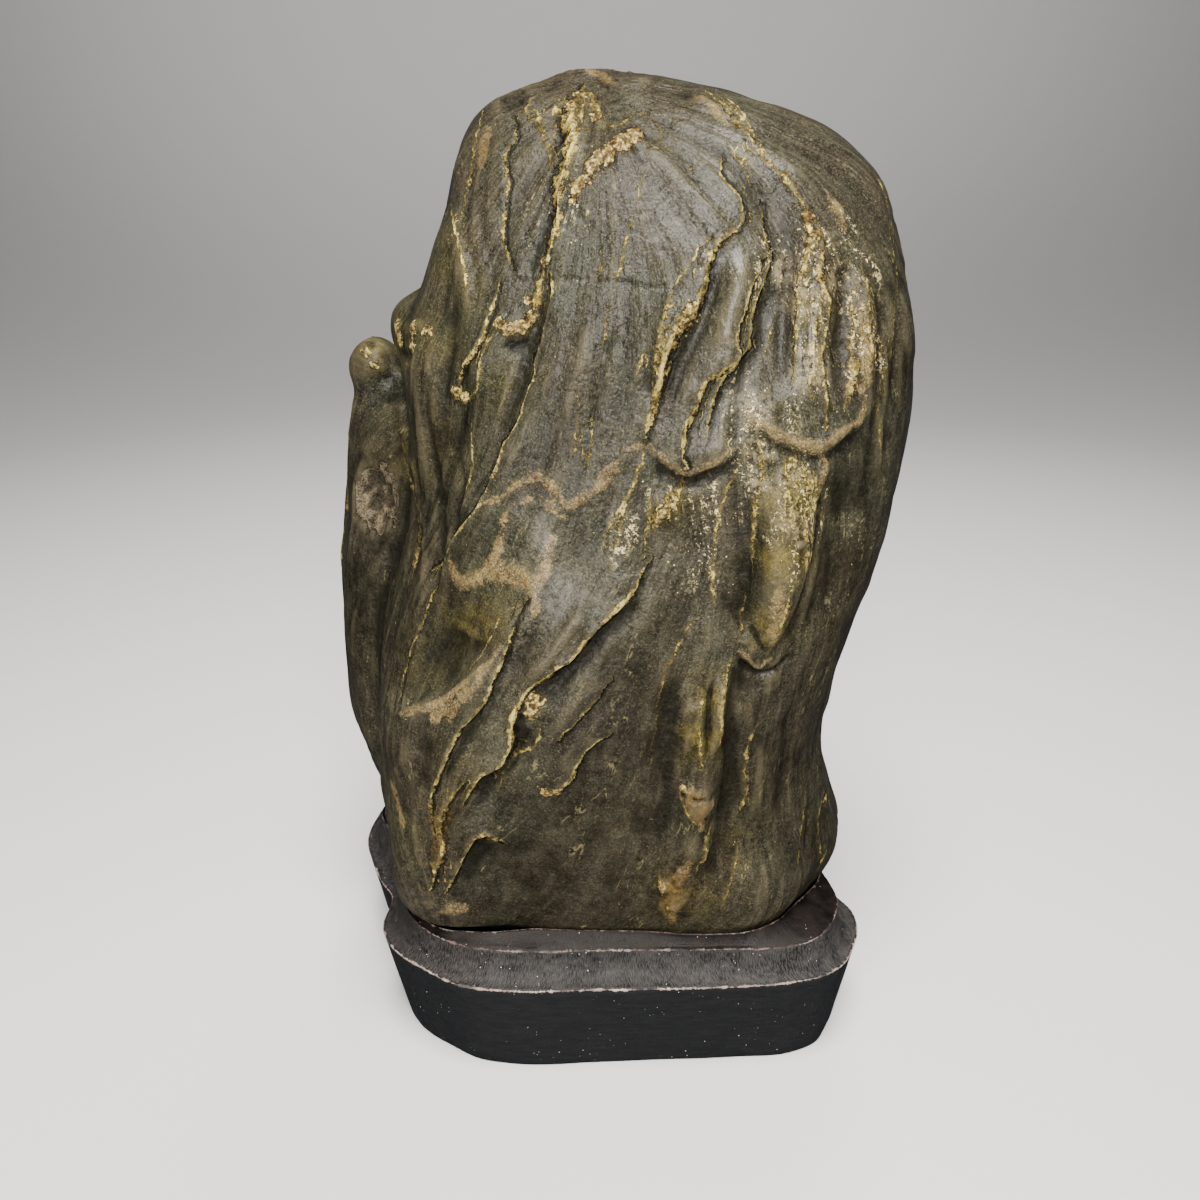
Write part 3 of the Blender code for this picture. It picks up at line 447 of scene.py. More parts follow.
# Swells and grooves: half width, how proud, which is below nought for a groove, and
# their line.
FORMS = {0: [
    # the hanging lobe, its lip and the crevice beneath
    (6, 2.4, [(177, 134), (177, 80), (176, 30), (172, -10), (165, -40)]),
    (3.6, 2, [(180, 4), (172, -25), (164, -52)]),
    (2, 1.3, [(142, -34), (148, -46), (157, -57)]),
    (0.8, -1.2, [(150, -22), (157, -38), (166, -52)]),
    (1.1, 1.4, [(139, -46), (146, -56), (156, -63), (167, -59)]),
    (1.1, -1.6, [(136, -52), (148, -68), (164, -73), (182, -64), (196, -48)]),
    (3, -0.8, [(164, -90), (168, -104), (164, -120)]),
    (2, -2.2, [(222, 134), (220, 80), (215, 40), (206, 4), (190, -30), (172, -56)]),
    (1.8, -1.2, [(148, 60), (146, 20), (142, -15), (141, -38)]),
    (5, -1.5, [(242, 144), (240, 95), (232, 40), (218, -10), (196, -50)]),
    # the knot, its eye and the lump below
    (4.6, 1.6, [(88, -190), (98, -206), (101, -224)]),
    (1, -1.8, [(90, -196), (98, -199), (105, -197)]),
    (1.5, 1.1, [(84, -190), (89, -188)]),
    (1.5, 1.2, [(108, -198), (109, -208)]),
    (1.4, 1.1, [(90, -208), (95, -214)]),
    (1.4, 1, [(100, -224), (104, -232)]),
    (4.6, 1.8, [(64, -274), (72, -292), (76, -316)]),
    (1.5, 1.2, [(62, -280), (67, -288)]),
    (1.5, 1.2, [(80, -274), (84, -268)]),
    (1.4, 1.1, [(72, -298), (77, -308)]),
    (1, -1, [(72, -276), (76, -286), (84, -288)]),
    (1.8, 1, [(108, -236), (106, -250), (98, -266)]),
    # the twin ridges
    (2, 1.5, [(130, -62), (122, -85), (118, -110), (117, -138), (112, -166)]),
    (3.4, 1.5, [(99, -88), (92, -112), (90, -140), (94, -168)]),
    (0.9, -2.2, [(114, -76), (109, -98), (108, -122), (108, -146), (105, -170)]),
    (3, -0.5, [(90, -50), (74, -90), (64, -140), (68, -190), (60, -240)]),
    (3, -0.8, [(140, -72), (131, -110), (129, -150), (131, -190), (122, -230)]),
    # the two strips
    (3, 1.3, [(144, 350), (135, 310), (122, 270), (112, 235)]),
    (1.7, -1.1, [(116, 338), (112, 310), (102, 280), (90, 255), (78, 220), (71, 188)]),
    (1.8, -1.2, [(176, 338), (170, 305), (162, 275), (157, 248), (142, 225), (126, 205)]),
    (2.2, 0.8, [(77, 262), (65, 230), (58, 198)]),
    (2, -1, [(62, 282), (52, 255), (48, 220), (45, 190)]),
    # the plate beside the middle vein
    (2, -1.2, [(-50, 338), (-64, 300), (-69, 270), (-76, 240), (-85, 210), (-95, 182),
        (-104, 158)]),
    (1.6, -1.5, [(-100, 257), (-84, 253), (-68, 259)]),
    (3.2, 0.8, [(-10, 300), (-17, 250), (-28, 200), (-40, 160)]),
    (1.3, -0.7, [(14, 300), (6, 250), (-2, 200), (-10, 150)]),
    (0.6, -0.55, [(-100, 316), (-84, 318), (-65, 321), (-44, 322), (-25, 323), (-6, 320),
        (13, 319), (38, 316), (74, 312), (96, 312)]),
    (0.7, -0.6, [(-31, 393), (-22, 388), (-16, 380), (-11, 368)]),
    # under the lip and the pink shelf
    (1.6, -1.4, [(48, 144), (66, 127), (84, 117), (104, 121), (122, 131), (140, 142)]),
    (1.7, -1.2, [(150, 172), (170, 159), (200, 143), (224, 141), (246, 157), (266, 172)]),
    # under the lower plate's edge
    (1.8, -1.2, [(50, 16), (28, -13), (2, -36), (-20, -62), (-44, -82), (-64, -108)]),
    (1.6, -1, [(-78, -116), (-79, -140), (-88, -164), (-110, -186), (-122, -208)]),
    (2.4, 0.8, [(0, 0), (-30, -32), (-60, -64), (-88, -90)]),
    # the hollows of the lower left
    (4.5, -0.4, [(-95, 10), (-126, -20), (-154, -55), (-182, -90)]),
    (5, -1.7, [(-168, -128), (-178, -160), (-175, -200)]),
    (1.6, -1.2, [(-112, -100), (-130, -132), (-146, -166), (-156, -200)]),
    (2, -0.6, [(-100, -250), (-116, -250), (-126, -266), (-136, -290)]),
    (7, 1.3, [(-126, 0), (-134, -40)]),
    (2.4, 0.7, [(40, 466), (65, 442), (86, 420), (108, 397), (130, 372)]),
    (1.8, 0.6, [(-242, 258), (-236, 248)]),
    (1.6, 0.6, [(-222, 254), (-218, 244)]),
    (1.6, -0.6, [(-230, 262), (-229, 250)]),
    # the knob and the hump beside it
    (2.2, 0.9, [(-204, 278), (-192, 270), (-180, 274), (-170, 266)]),
    (1.4, -1.2, [(-212, 282), (-208, 260), (-200, 248), (-188, 242)]),
    (2.6, 0.8, [(-176, 338), (-192, 318), (-204, 296)]),
    (1.6, -1, [(-228, 228), (-216, 222), (-204, 228)]),
    # the crown
    (2.4, 0.9, [(-124, 488), (-116, 496), (-106, 500)]),
    (3.4, 1.3, [(-20, 526), (-4, 529), (12, 524)]),
    (6, -1.7, [(40, 516), (70, 512), (105, 506)]),
    (6, -1.5, [(-104, 494), (-88, 502), (-70, 508)]),
    (2, -0.7, [(-60, 508), (-48, 516), (-40, 522)]),
    (2, -0.7, [(32, 508), (44, 512), (56, 508)]),
    # the columns
    (1.8, -1.1, [(190, 360), (186, 310), (183, 260), (180, 210)]),
    (1.5, -0.9, [(238, 350), (242, 300), (238, 250), (236, 200)]),
    (1.2, -0.8, [(214, 350), (212, 300), (209, 250), (208, 200)]),
    (1.8, -1, [(274, 340), (280, 280), (278, 220), (272, 170), (262, 120)]),
    (1.5, -0.9, [(292, 350), (297, 280), (290, 200), (280, 120), (268, 60)]),
    (2.2, 1, [(156, 420), (174, 385), (180, 340), (176, 290)]),
    # the left edge and flank
    (1.7, -1, [(-122, 470), (-130, 420), (-134, 370), (-126, 320), (-124, 270)]),
    (1.5, -0.8, [(-106, 490), (-114, 440), (-118, 380), (-112, 330)]),
    (2.2, -1.4, [(-176, 280), (-180, 220), (-172, 160), (-160, 100), (-162, 40), (-172, -20),
        (-184, -70)]),
    (2, 1.1, [(-195, 260), (-198, 200), (-188, 140), (-176, 80), (-176, 20), (-188, -40)]),
    (1.8, -1, [(-140, 160), (-138, 120), (-148, 70), (-160, 20)]),
    # the lower right
    (3.5, -1.2, [(190, -90), (186, -140), (180, -190), (170, -240)]),
    (1.3, -0.9, [(211, -190), (208, -230), (206, -262)]),
    (2.5, 0.9, [(140, -90), (152, -130), (156, -180), (150, -230)]),
]}

# Lumps of crust: across, up, radius, how proud.
CRUST = [
    (-234, 248, 1.4, 0.5), (-226, 234, 1.2, 0.4), (-196, 304, 1.6, 0.4), (-202, 274, 1.8, 0.7),
    (-198, 260, 1.8, 0.8), (-184, 272, 1.8, 0.8), (-172, 268, 1.6, 0.6), (-188, 256, 1.5, 0.5),
    (-100, 276, 1.6, 0.9), (-90, 270, 1.7, 1.2), (-78, 274, 1.8, 1.2), (-69, 284, 1.5, 1),
    (-72, 300, 1.2, 0.6), (34, 466, 2.6, 1), (22, 458, 2.6, 0.9), (11, 452, 1.6, 1),
    (4, 442, 2.4, 0.8), (-8, 434, 2.2, 1), (-14, 420, 1.6, 0.8), (-22, 414, 1.6, 0.7),
    (-26, 400, 1.2, 0.5), (-142, 208, 1.8, 0.8), (-136, 202, 1.4, 0.7), (92, 288, 2.2, 0.8),
    (84, 276, 2, 0.8), (-66, -102, 2.2, 1.1), (-70, -114, 1.7, 0.9), (64, 88, 1.8, 0.8),
    (72, 100, 1.6, 0.7), (84, -188, 1.2, 0.5), (62, -282, 1.2, 0.5), (-42, -190, 1.4, 0.5),
    (-54, -192, 1.4, 0.5), (-106, -238, 1.6, 0.6), (-118, -234, 1.5, 0.6), (224, -200, 1.1, 0.4),
    (222, -260, 1.2, 0.4), (-27, 493, 1.6, 0.5), (-20, 504, 1.6, 0.5), (-4, 482, 1.4, 0.5),
    (208, 384, 1.6, 0.5), (216, 364, 1.4, 0.5), (-44, 364, 1.4, 0.5), (-54, 338, 1.4, 0.6),
]

# How the layers run over the broad face: each row gives a layer's place in the order, and
# how far across it stands at each of the heights, from the top of the sketch to the foot.
LAYER_HEIGHTS = (530, 450, 350, 250, 150, 50, -50, -150, -250, -330)
LAYERS = [
    (-250, (-40, -132, -175, -248, -255, -257, -255, -240, -205, -170)),
    (-150, (-30, -110, -142, -142, -150, -185, -208, -214, -200, -164)),
    (-60, (-15, -32, -49, -64, -95, -153, -190, -200, -185, -160)),
    (0, (0, 0, -4, -10, -22, -55, -100, -145, -170, -155)),
    (60, (12, 45, 68, 60, 45, 32, -25, -93, -157, -150)),
    (120, (40, 122, 145, 135, 95, 106, 75, 45, 28, 0)),
    (170, (65, 156, 175, 165, 145, 142, 135, 100, 90, 65)),
    (210, (100, 180, 205, 198, 195, 190, 175, 155, 145, 135)),
    (240, (140, 215, 226, 226, 228, 215, 200, 180, 175, 170)),
    (270, (180, 250, 270, 278, 272, 250, 225, 200, 205, 200)),
    (300, (200, 275, 300, 312, 305, 290, 255, 228, 235, 220)),
]

# Patches of colour on the broad face: across, up, radius, strength. SHEEN is where hands
# have polished it, and a paler sheen is painted into the colour there. The dark patches are
# where the rock is darkest, and also painted shade on the sides, the lower part, the main
# plate and the pits by the lobe. GLITTER is where bright grains crowd.
OLIVE = [
    (-180, 150, 45, 0.6), (-170, 260, 40, 0.5), (-160, 350, 35, 0.5), (-120, -20, 55, 0.6),
    (-170, -60, 40, 0.5), (-140, -160, 40, 0.5), (-190, -230, 40, 0.4), (185, 100, 36, 1.0),
    (182, 40, 36, 1.0), (172, -20, 30, 1.0), (102, -100, 30, 1.0), (98, -140, 30, 1.0),
    (-125, -25, 40, 0.8), (225, 300, 40, 0.5), (85, -290, 36, 0.9), (130, -250, 36, 0.5),
    (-100, 215, 30, 0.6), (-130, 310, 30, 0.4), (145, -190, 30, 0.5), (250, -60, 40, 0.3),
    (-30, 470, 40, 0.5), (-228, 248, 22, 1.0), (-196, 268, 22, 0.7), (175, 180, 30, 0.6),
    (78, 90, 24, 0.7), (-68, -108, 14, 0.9), (166, -40, 13, 1.0), (150, -46, 9, 1.0),
    (116, -95, 14, 1.3), (94, -130, 17, 1.3), (114, -130, 13, 1.3),
]
SHEEN = [
    (90, 400, 60, 0.25), (135, 335, 36, 1.0), (20, 200, 60, 0.25), (-55, 60, 40, 1.0),
    (-40, 0, 44, 1.0), (-100, -140, 42, 1.0), (140, 270, 50, 0.9), (-10, 120, 56, 0.3),
    (-30, 440, 30, 0.2), (110, 200, 50, 0.6), (200, 250, 44, 1.0), (150, 480, 50, 0.6),
    (30, 30, 40, 0.5), (140, -60, 60, 0.5),
]
BROWN = [
    (-18, 414, 13, 0.7), (-84, 276, 12, 0.7), (-150, -215, 34, 1.0), (-160, -255, 26, 1.0),
    (98, -205, 20, 1.2), (72, -290, 24, 1.0), (20, -250, 110, 0.9), (-40, -280, 80, 0.8),
    (180, -140, 60, 0.8), (260, 0, 60, 0.8), (280, 270, 44, 0.6), (50, 510, 80, 0.8),
    (-120, 450, 50, 0.8), (-190, -180, 40, 0.7), (250, 350, 40, 0.5), (120, -300, 60, 0.7),
    (60, -60, 60, 0.6), (200, 400, 70, 0.5), (250, -250, 60, 0.8), (-250, -30, 60, 0.5),
]
DARK_AND_SHADED = [
    (-240, -10, 90, 1.0), (-235, 120, 60, 1.0), (-170, 180, 44, 0.9), (-160, 60, 40, 0.8),
    (-190, 100, 40, 0.9), (255, 110, 40, 1.0), (246, 30, 44, 1.0), (296, 230, 44, 1.0),
    (306, 320, 40, 0.9), (250, -40, 40, 0.9), (0, -260, 110, 0.8), (-60, -280, 80, 0.9),
    (40, -150, 60, 0.85), (190, -160, 90, 0.8), (225, -230, 60, 0.9), (-110, -250, 60, 0.7),
    (-200, -150, 50, 0.6), (-210, -60, 40, 0.6), (-80, 270, 30, 0.4), (20, -80, 46, 0.8),
    (-250, 250, 30, 0.3), (-130, 60, 30, 0.5), (-140, -40, 36, 0.2), (140, 40, 16, 0.7),
    (158, 58, 11, 0.8), (157, 22, 12, 0.8), (193, 30, 9, 1.0), (196, 46, 8, 0.8),
    (180, 60, 13, 0.5), (178, 15, 13, 0.5), (98, -205, 14, 0.45), (72, -288, 18, 0.4),
    (70, -40, 30, 0.4), (185, 55, 30, 0.3), (-215, 60, 40, 1.0), (280, 150, 40, 1.0),
    (0, 240, 50, 0.4), (-30, 160, 50, 0.45), (60, 250, 50, 0.4), (178, 90, 26, 0.45),
    (-235, 246, 24, 0.9), (-190, 266, 30, 0.8),
]
GLITTER = [
    (160, 150, 24, 1.0), (185, 330, 30, 1.0), (225, 360, 26, 0.8), (240, 320, 30, 0.9),
    (157, 120, 18, 1.0), (200, 118, 24, 1.0), (206, 70, 18, 0.8), (210, 230, 40, 1.0),
    (262, 250, 24, 0.7), (200, 300, 36, 1.0), (155, 190, 34, 0.9), (120, 80, 36, 0.6),
    (115, 40, 34, 0.5), (250, 60, 60, 0.12), (190, 120, 22, 1.0), (196, 60, 12, 1.0),
    (186, 95, 16, 1.0), (192, 80, 26, 1.0), (30, 60, 30, 0.35), (-30, 400, 60, 0.2),
    (192, 30, 14, 0.6), (70, 100, 20, 0.7),
]


def pick_only(obj):
    bpy.ops.object.select_all(action="DESELECT")
    bpy.context.view_layer.objects.active = obj
    obj.select_set(True)


def apply_modifier(obj, kind, **settings):
    modifier = obj.modifiers.new(kind.lower(), kind)
    for name, value in settings.items():
        setattr(modifier, name, value)
    pick_only(obj)
    bpy.ops.object.modifier_apply(modifier=modifier.name)


# The plain solid is copied, closed up, evened out and softened.
STONE_PITCH = 0.00155
SOFTEN_ROUNDS = 5
stone_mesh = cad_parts["stone"].data.copy()
stone_mesh.materials.clear()
stone = bpy.data.objects.new("weathered_stone", stone_mesh)
bpy.context.scene.collection.objects.link(stone)
pick_only(stone)
bpy.ops.object.mode_set(mode="EDIT")
bpy.ops.mesh.select_all(action="SELECT")
bpy.ops.mesh.remove_doubles(threshold=0.00002)
bpy.ops.object.mode_set(mode="OBJECT")
apply_modifier(stone, "SUBSURF", levels=1, render_levels=1)
apply_modifier(stone, "REMESH", mode="VOXEL", voxel_size=STONE_PITCH)
apply_modifier(stone, "SMOOTH", factor=0.5, iterations=SOFTEN_ROUNDS)


def read(items, name, width, kind=float):
    """What every point, edge, corner or face of a mesh holds under a name."""
    found = np.empty(len(items) * width, kind)
    items.foreach_get(name, found)
    return found.reshape(-1, width)


def points_of(mesh):
    return read(mesh.vertices, "co", 3) / MM


def move_points(mesh, places):
    mesh.vertices.foreach_set("co", (places * MM).ravel())
    mesh.update()


def eased(t):
    """Slow at both ends, from 0 up to 1."""
    t = np.clip(t, 0, 1)
    return t * t * (3 - 2 * t)


def tapered(part, end):
    """1 along the middle of a line, eased to 0 over the end share of it at each end."""
    return eased(part / end) * eased((1 - part) / end)


def bell(off, width):
    """1 at the middle, dying out smoothly over about width."""
    return np.exp(-((off / width) ** 2))


# The foot's front left corner stands square to the rim of the stand, so it is pulled out
# before any line is set out on it.
CORNER_BEARING = 221
CORNER_SPREAD = 15
CORNER_LEVEL = 50
CORNER_TALL = 22
CORNER_START = 43
CORNER_EASE = 5
CORNER_PULL = 6.5
skin = points_of(stone_mesh)
bearing_off = np.degrees(np.arctan2(skin[:, 1], skin[:, 0])) % 360 - CORNER_BEARING
level_off = (skin[:, 2] - CORNER_LEVEL) / CORNER_TALL
pull = CORNER_PULL * np.exp(-((bearing_off / CORNER_SPREAD) ** 2) - level_off**2)
pull *= eased((skin[:, 2] - CORNER_START) / CORNER_EASE)
skin[:, :2] += skin[:, :2] / np.linalg.norm(skin[:, :2], axis=1)[:, None] * pull[:, None]
move_points(stone_mesh, skin)

solid = BVHTree.FromObject(stone, bpy.context.evaluated_depsgraph_get())
SKETCH_AWAY = 1203
AHEAD = np.array([0, math.cos(LOOK_DOWN), -math.sin(LOOK_DOWN)])
ABOVE = np.array([0, math.sin(LOOK_DOWN), math.cos(LOOK_DOWN)])
LINE_STEP = 3  # between points of a cast line, on the sketch


def smooth_curve(knots, values, places):
    """A smooth curve through values, which stand at the knots, read at places."""
    slope = np.gradient(values, knots, axis=0)
    index = np.clip(np.searchsorted(knots, places, side="right") - 1, 0, len(knots) - 2)
    span = knots[index + 1] - knots[index]
    t = (places - knots[index]) / span
    if values.ndim > 1:
        span, t = span[:, None], t[:, None]
    return (
        values[index] * (2 * t**3 - 3 * t**2 + 1)
        + slope[index] * span * (t**3 - 2 * t**2 + t)
        + values[index + 1] * (3 * t**2 - 2 * t**3)
        + slope[index + 1] * span * (t**3 - t**2)
    )


def flowing(line):
    """The given line as a smooth curve through its points, at an even step."""
    marks = np.array(line, float)
    run = np.concatenate([[0], np.cumsum(np.linalg.norm(np.diff(marks, axis=0), axis=1))])
    even = np.linspace(0, run[-1], max(int(run[-1] / LINE_STEP), 2) + 1)
    return smooth_curve(run, marks, even)


def cast(sketch, bearing=0):
    """Sketch points thrown on to the stone, in millimetres, and the way it faces there."""
    turn = Matrix.Rotation(math.radians(bearing), 3, "Z")
    side = np.array([1.0, 0, 0])
    sights = sketch[:, :1] * side + sketch[:, 1:2] * ABOVE + SKETCH_AWAY * AHEAD
    hits = [solid.ray_cast(turn @ EYE, (turn @ Vector(sight)).normalized()) for sight in sights]
    found = [(hit[0], hit[1]) for hit in hits if hit[0] is not None]
    places = np.array([list(place / MM) for place, facing in found])
    return places, np.array([list(facing) for place, facing in found])


def cast_table(table):
    """Every line of a table on the stone, with the numbers that go with it."""
    rows = []
    for bearing, lines in table.items():
        for *numbers, line in lines:
            places, facings = cast(flowing(line), bearing)
            if len(places) > 2:
                rows.append((numbers, places, facings))
    return rows


def measure(points, places, facings, reach):
    """The points near a cast line: which they are, how far off, which side, how far along."""
    low, high = places.min(0) - reach, places.max(0) + reach
    near = np.flatnonzero(((points > low) & (points < high)).all(1))
    start, step = places[:-1], np.diff(places, axis=0)
    length = np.maximum((step * step).sum(1), 1e-9)
    offset = points[near][:, None, :] - start[None]
    along = np.clip((offset * step).sum(2) / length, 0, 1)
    away = offset - along[..., None] * step[None]
    distance = np.linalg.norm(away, axis=2)
    nearest = distance.argmin(axis=1)
    row = np.arange(len(near))
    left = np.cross(step, facings[:-1])
    side = np.sign((away[row, nearest] * left[nearest]).sum(1))
    part = (nearest + along[row, nearest]) / len(step)
    off = distance[row, nearest]
    kept = off < reach
    return near[kept], off[kept], side[kept], part[kept]


vein_lines = cast_table(VEINS)
band_lines = cast_table(BANDS)
form_lines = cast_table(FORMS)
crust_places = []
for across, up, radius, proud in CRUST:
    places = cast(np.array([[across, up]], float))[0]
    if len(places):
        crust_places.append((places[0], radius, proud))

# The skin is cut finer where a proud vein, a ledge or a narrow groove runs, so that its
# edges are crisp.
FINE_REACH = 2.4
FINE_PROUD = 0.3
FINE_NARROW = 1.3
points = points_of(stone_mesh)
close = np.zeros(len(points), bool)
crisp = [line for line in vein_lines if line[0][2] >= FINE_PROUD or line[0][3]]
crisp += [line for line in form_lines if line[0][0] <= FINE_NARROW]
for numbers, places, facings in crisp:
    close[measure(points, places, facings, FINE_REACH)[0]] = True
pick_only(stone)
bpy.ops.object.mode_set(mode="EDIT")
bpy.ops.mesh.select_mode(type="FACE")
bpy.ops.mesh.select_all(action="DESELECT")
bpy.ops.object.mode_set(mode="OBJECT")
corners = read(stone_mesh.loops, "vertex_index", 1, np.int32)[:, 0]
starts = read(stone_mesh.polygons, "loop_start", 1, np.int32)[:, 0]
stone_mesh.polygons.foreach_set("select", np.logical_and.reduceat(close[corners], starts))
bpy.ops.object.mode_set(mode="EDIT")
bpy.ops.mesh.subdivide(number_cuts=1)
bpy.ops.object.mode_set(mode="OBJECT")
apply_modifier(stone, "SMOOTH", factor=0.3, iterations=1)

points, normals = points_of(stone_mesh), read(stone_mesh.vertices, "normal", 3)
count = len(points)

# Where each point of the skin stands on the sketch at bearing 0.
seen = points - np.array(EYE) / MM
depth = seen @ AHEAD
across, up = seen[:, 0] / depth * SKETCH_AWAY, (seen @ ABOVE) / depth * SKETCH_AWAY

# The grain: every point is read off the layer it lies on, and set on a plain upright
# ring round the stone, so that streaks run with the layers on every side.
SKETCH_SCALE = 0.3  # millimetres on the stone to one on the sketch
GRAIN_AXIS = (0, 8)
GRAIN_HALF_WIDTHS = (80, 48)
GRAIN_SQUARENESS = 4
GRAIN_STRETCH = 0.11  # how slowly the grain changes down its length
heights = np.array(LAYER_HEIGHTS[::-1], float)
order = np.array([place for place, run in LAYERS], float)
rows = np.array([np.interp(up, heights, run[::-1]) for place, run in LAYERS])
below = np.clip((rows < across).sum(0) - 1, 0, len(order) - 2)
each = np.arange(count)
gap = rows[below + 1, each] - rows[below, each]
share = (across - rows[below, each]) / np.maximum(gap, 1)
laid = (order[below] + share * (order[below + 1] - order[below])) * SKETCH_SCALE
bearing = np.arctan2(points[:, 1] - GRAIN_AXIS[1], laid - GRAIN_AXIS[0])
wide, deep = GRAIN_HALF_WIDTHS
power = GRAIN_SQUARENESS
cosine, sine = np.cos(bearing), np.sin(bearing)
reach = (np.abs(cosine / wide) ** power + np.abs(sine / deep) ** power) ** (-1 / power)
grain = np.stack([reach * cosine, reach * sine, points[:, 2] * GRAIN_STRETCH], 1)


def rough_noise(where, size):
    """Smooth noise either side of nought, whose hills are about size apart."""
    return np.array([noise.noise(Vector(place)) for place in where / size])


# How far each point looks to the front: from 0 at the back to 1 on the broad face.
in_front = eased((-normals[:, 1] + 0.1) / 0.5)

# The carving: how far each point of the skin moves out, in millimetres. First come low
# hills, given as height and size.
moved = np.zeros(count)
for height, where, size in ((0.8, grain, 9.0), (0.4, grain, 3.4), (0.8, points, 14.0)):
    moved += height * rough_noise(where, size)

# Plates: worn layers that end in low ledges, lower on the broad face where the ledges
# are set out.
PLATE_SIZE = 17.0
PLATE_COUNT = 5.0
PLATE_EDGE = 0.16
PLATE_DRIFT = 0.35  # off the grain, to each centimetre
PLATE_FRONT, PLATE_BACK = 0.35, 0.4
layers = PLATE_COUNT * rough_noise(grain + PLATE_DRIFT * points / 10, PLATE_SIZE)
plates = np.floor(layers) + eased((layers % 1 - 0.5) / PLATE_EDGE + 0.5)
moved += (plates - layers) * (PLATE_FRONT + PLATE_BACK * (1 - in_front))

LINE_REACH = 9.0
END_TAPER = 0.22


def along_lines(lines, end_share):
    """Each line's other numbers, the points near it, how far off and on which side they
    are, and how whole and how wide it is there. It narrows to end_share at its ends."""
    for (width_start, width_end, *numbers), places, facings in lines:
        near, off, side, part = measure(points, places, facings, LINE_REACH)
        taper = tapered(part, END_TAPER)
        width = width_start + (width_end - width_start) * part
        yield numbers, near, off, side, taper, width * (end_share + (1 - end_share) * taper)


# Veins stand up in broken lumps, with the stone lower on one side of them. Each point
# keeps how far off and how wide its nearest vein is, for the finish.
VEIN_END = 0.25
VEIN_FLANK = 0.35
LEDGE_EDGE = 0.5
LEDGE_RUN = 6.0
fine = rough_noise(points, 2.8)
uneven = rough_noise(points, 6.5)
signed, plain, best = (np.full(count, LINE_REACH) for i in range(3))
half = np.full(count, 0.3)
drop = np.zeros(count)
for (proud, ledge), near, off, side, taper, width in along_lines(vein_lines, VEIN_END):
    wall = eased((off * side / LEDGE_EDGE + 1) / 2) - 0.5
    moved[near] += ledge * wall * bell(off, LEDGE_RUN) * taper * (1 + 0.7 * uneven[near])
    broken = np.clip(0.9 + 0.7 * fine[near] + 1.5 * uneven[near], 0.1, 2)
    broken *= np.clip(width / 0.9, 0.3, 1)
    moved[near] += proud * bell(off, width + VEIN_FLANK) * taper * broken
    closer = off - width < best[near]
    chosen = near[closer]
    best[chosen] = (off - width)[closer]
    plain[chosen] = off[closer]
    signed[chosen] = (off * side)[closer]
    half[chosen] = width[closer]
    drop[chosen] = ledge

# Bands stand up a little, as smooth low swells.
BAND_END = 0.3
BAND_FLANK = 0.6
band_off = np.full(count, LINE_REACH)
band_half = np.full(count, 0.5)
for (proud,), near, off, side, taper, width in along_lines(band_lines, BAND_END):
    moved[near] += proud * bell(off, width + BAND_FLANK) * taper
    closer = off - width < (band_off - band_half)[near]
    chosen = near[closer]
    band_off[chosen] = off[closer]
    band_half[chosen] = width[closer]

# Swells and grooves, and then the lumps of crust.
FORM_TAPER = 0.3
FORM_REACH = 2.6  # in half widths
for (width, proud), places, facings in form_lines:
    near, off, side, part = measure(points, places, facings, FORM_REACH * width)
    moved[near] += proud * bell(off, width) * tapered(part, FORM_TAPER)
crust = np.zeros(count)
for place, radius, proud in crust_places:
    off = np.linalg.norm(points - place, axis=1)
    moved += proud * bell(off, radius) * (0.8 + 1.4 * fine)
    crust = np.maximum(crust, np.exp(-((off / (radius * 1.25)) ** 4)))

# The broken face on the shoulder: a flat scar, rough inside a sharp rim.
SCAR = (-223, 100)
SCAR_HALF = (21, 32)
SCAR_DEPTH = 1.1
SCAR_RAGGED = 0.35
SCAR_OUTER, SCAR_RIM = 1.06, 0.14
scar_out = np.hypot((across - SCAR[0]) / SCAR_HALF[0], (up - SCAR[1]) / SCAR_HALF[1])
scar_out = scar_out + SCAR_RAGGED * fine
scar = eased((SCAR_OUTER - scar_out) / SCAR_RIM) * in_front
moved -= scar * (SCAR_DEPTH + 0.9 * fine + 0.5 * rough_noise(points, 4.0))

# The carving dies out towards the seat, and wherever it would stand outside the stone's
# own box, it is drawn back inside.
SEAT_FADE = (44, 54)
BOX_ROOM = 0.02
fade = eased((points[:, 2] - SEAT_FADE[0]) / (SEAT_FADE[1] - SEAT_FADE[0]))
carved = points + normals * (moved * fade)[:, None]
stone_low, stone_high = (np.array(corner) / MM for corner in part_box("stone"))
carved = np.clip(carved, stone_low + BOX_ROOM, stone_high - BOX_ROOM)
move_points(stone_mesh, carved)

# Hollows and crests, felt over a few millimetres and then more widely, for the dirt and
# painted shade in one and the polish on the other.
HOLLOW_ROUNDS = (5, 30)
edges = read(stone_mesh.edges, "vertices", 2, np.int32)
both = np.concatenate([edges, edges[:, ::-1]])
friends = np.bincount(both[:, 0], minlength=count)
soft = carved.copy()
normals = read(stone_mesh.vertices, "normal", 3)
hollows = []
for rounds in HOLLOW_ROUNDS:
    for i in range(rounds):
        total = [np.bincount(both[:, 0], soft[both[:, 1], axis], count) for axis in range(3)]
        soft = np.stack(total, 1) / friends[:, None]
    hollows.append(((soft - carved) * normals).sum(1))


def on_skin(table, loose):
    """How much of a colour each point has: patches on the broad face, loose elsewhere."""
    share = np.zeros(count)
    for centre, level, radius, strength in table:
        share = np.maximum(share, strength * bell(np.hypot(across - centre, up - level), radius))
    return share * in_front + loose * (1 - in_front)


def store(mesh, name, *numbers):
    """Stores three numbers on every point for the finish to read."""
    layer = mesh.attributes.new(name, "FLOAT_VECTOR", "POINT")
    layer.data.foreach_set("vector", np.stack(numbers, 1).astype(np.float32).ravel())


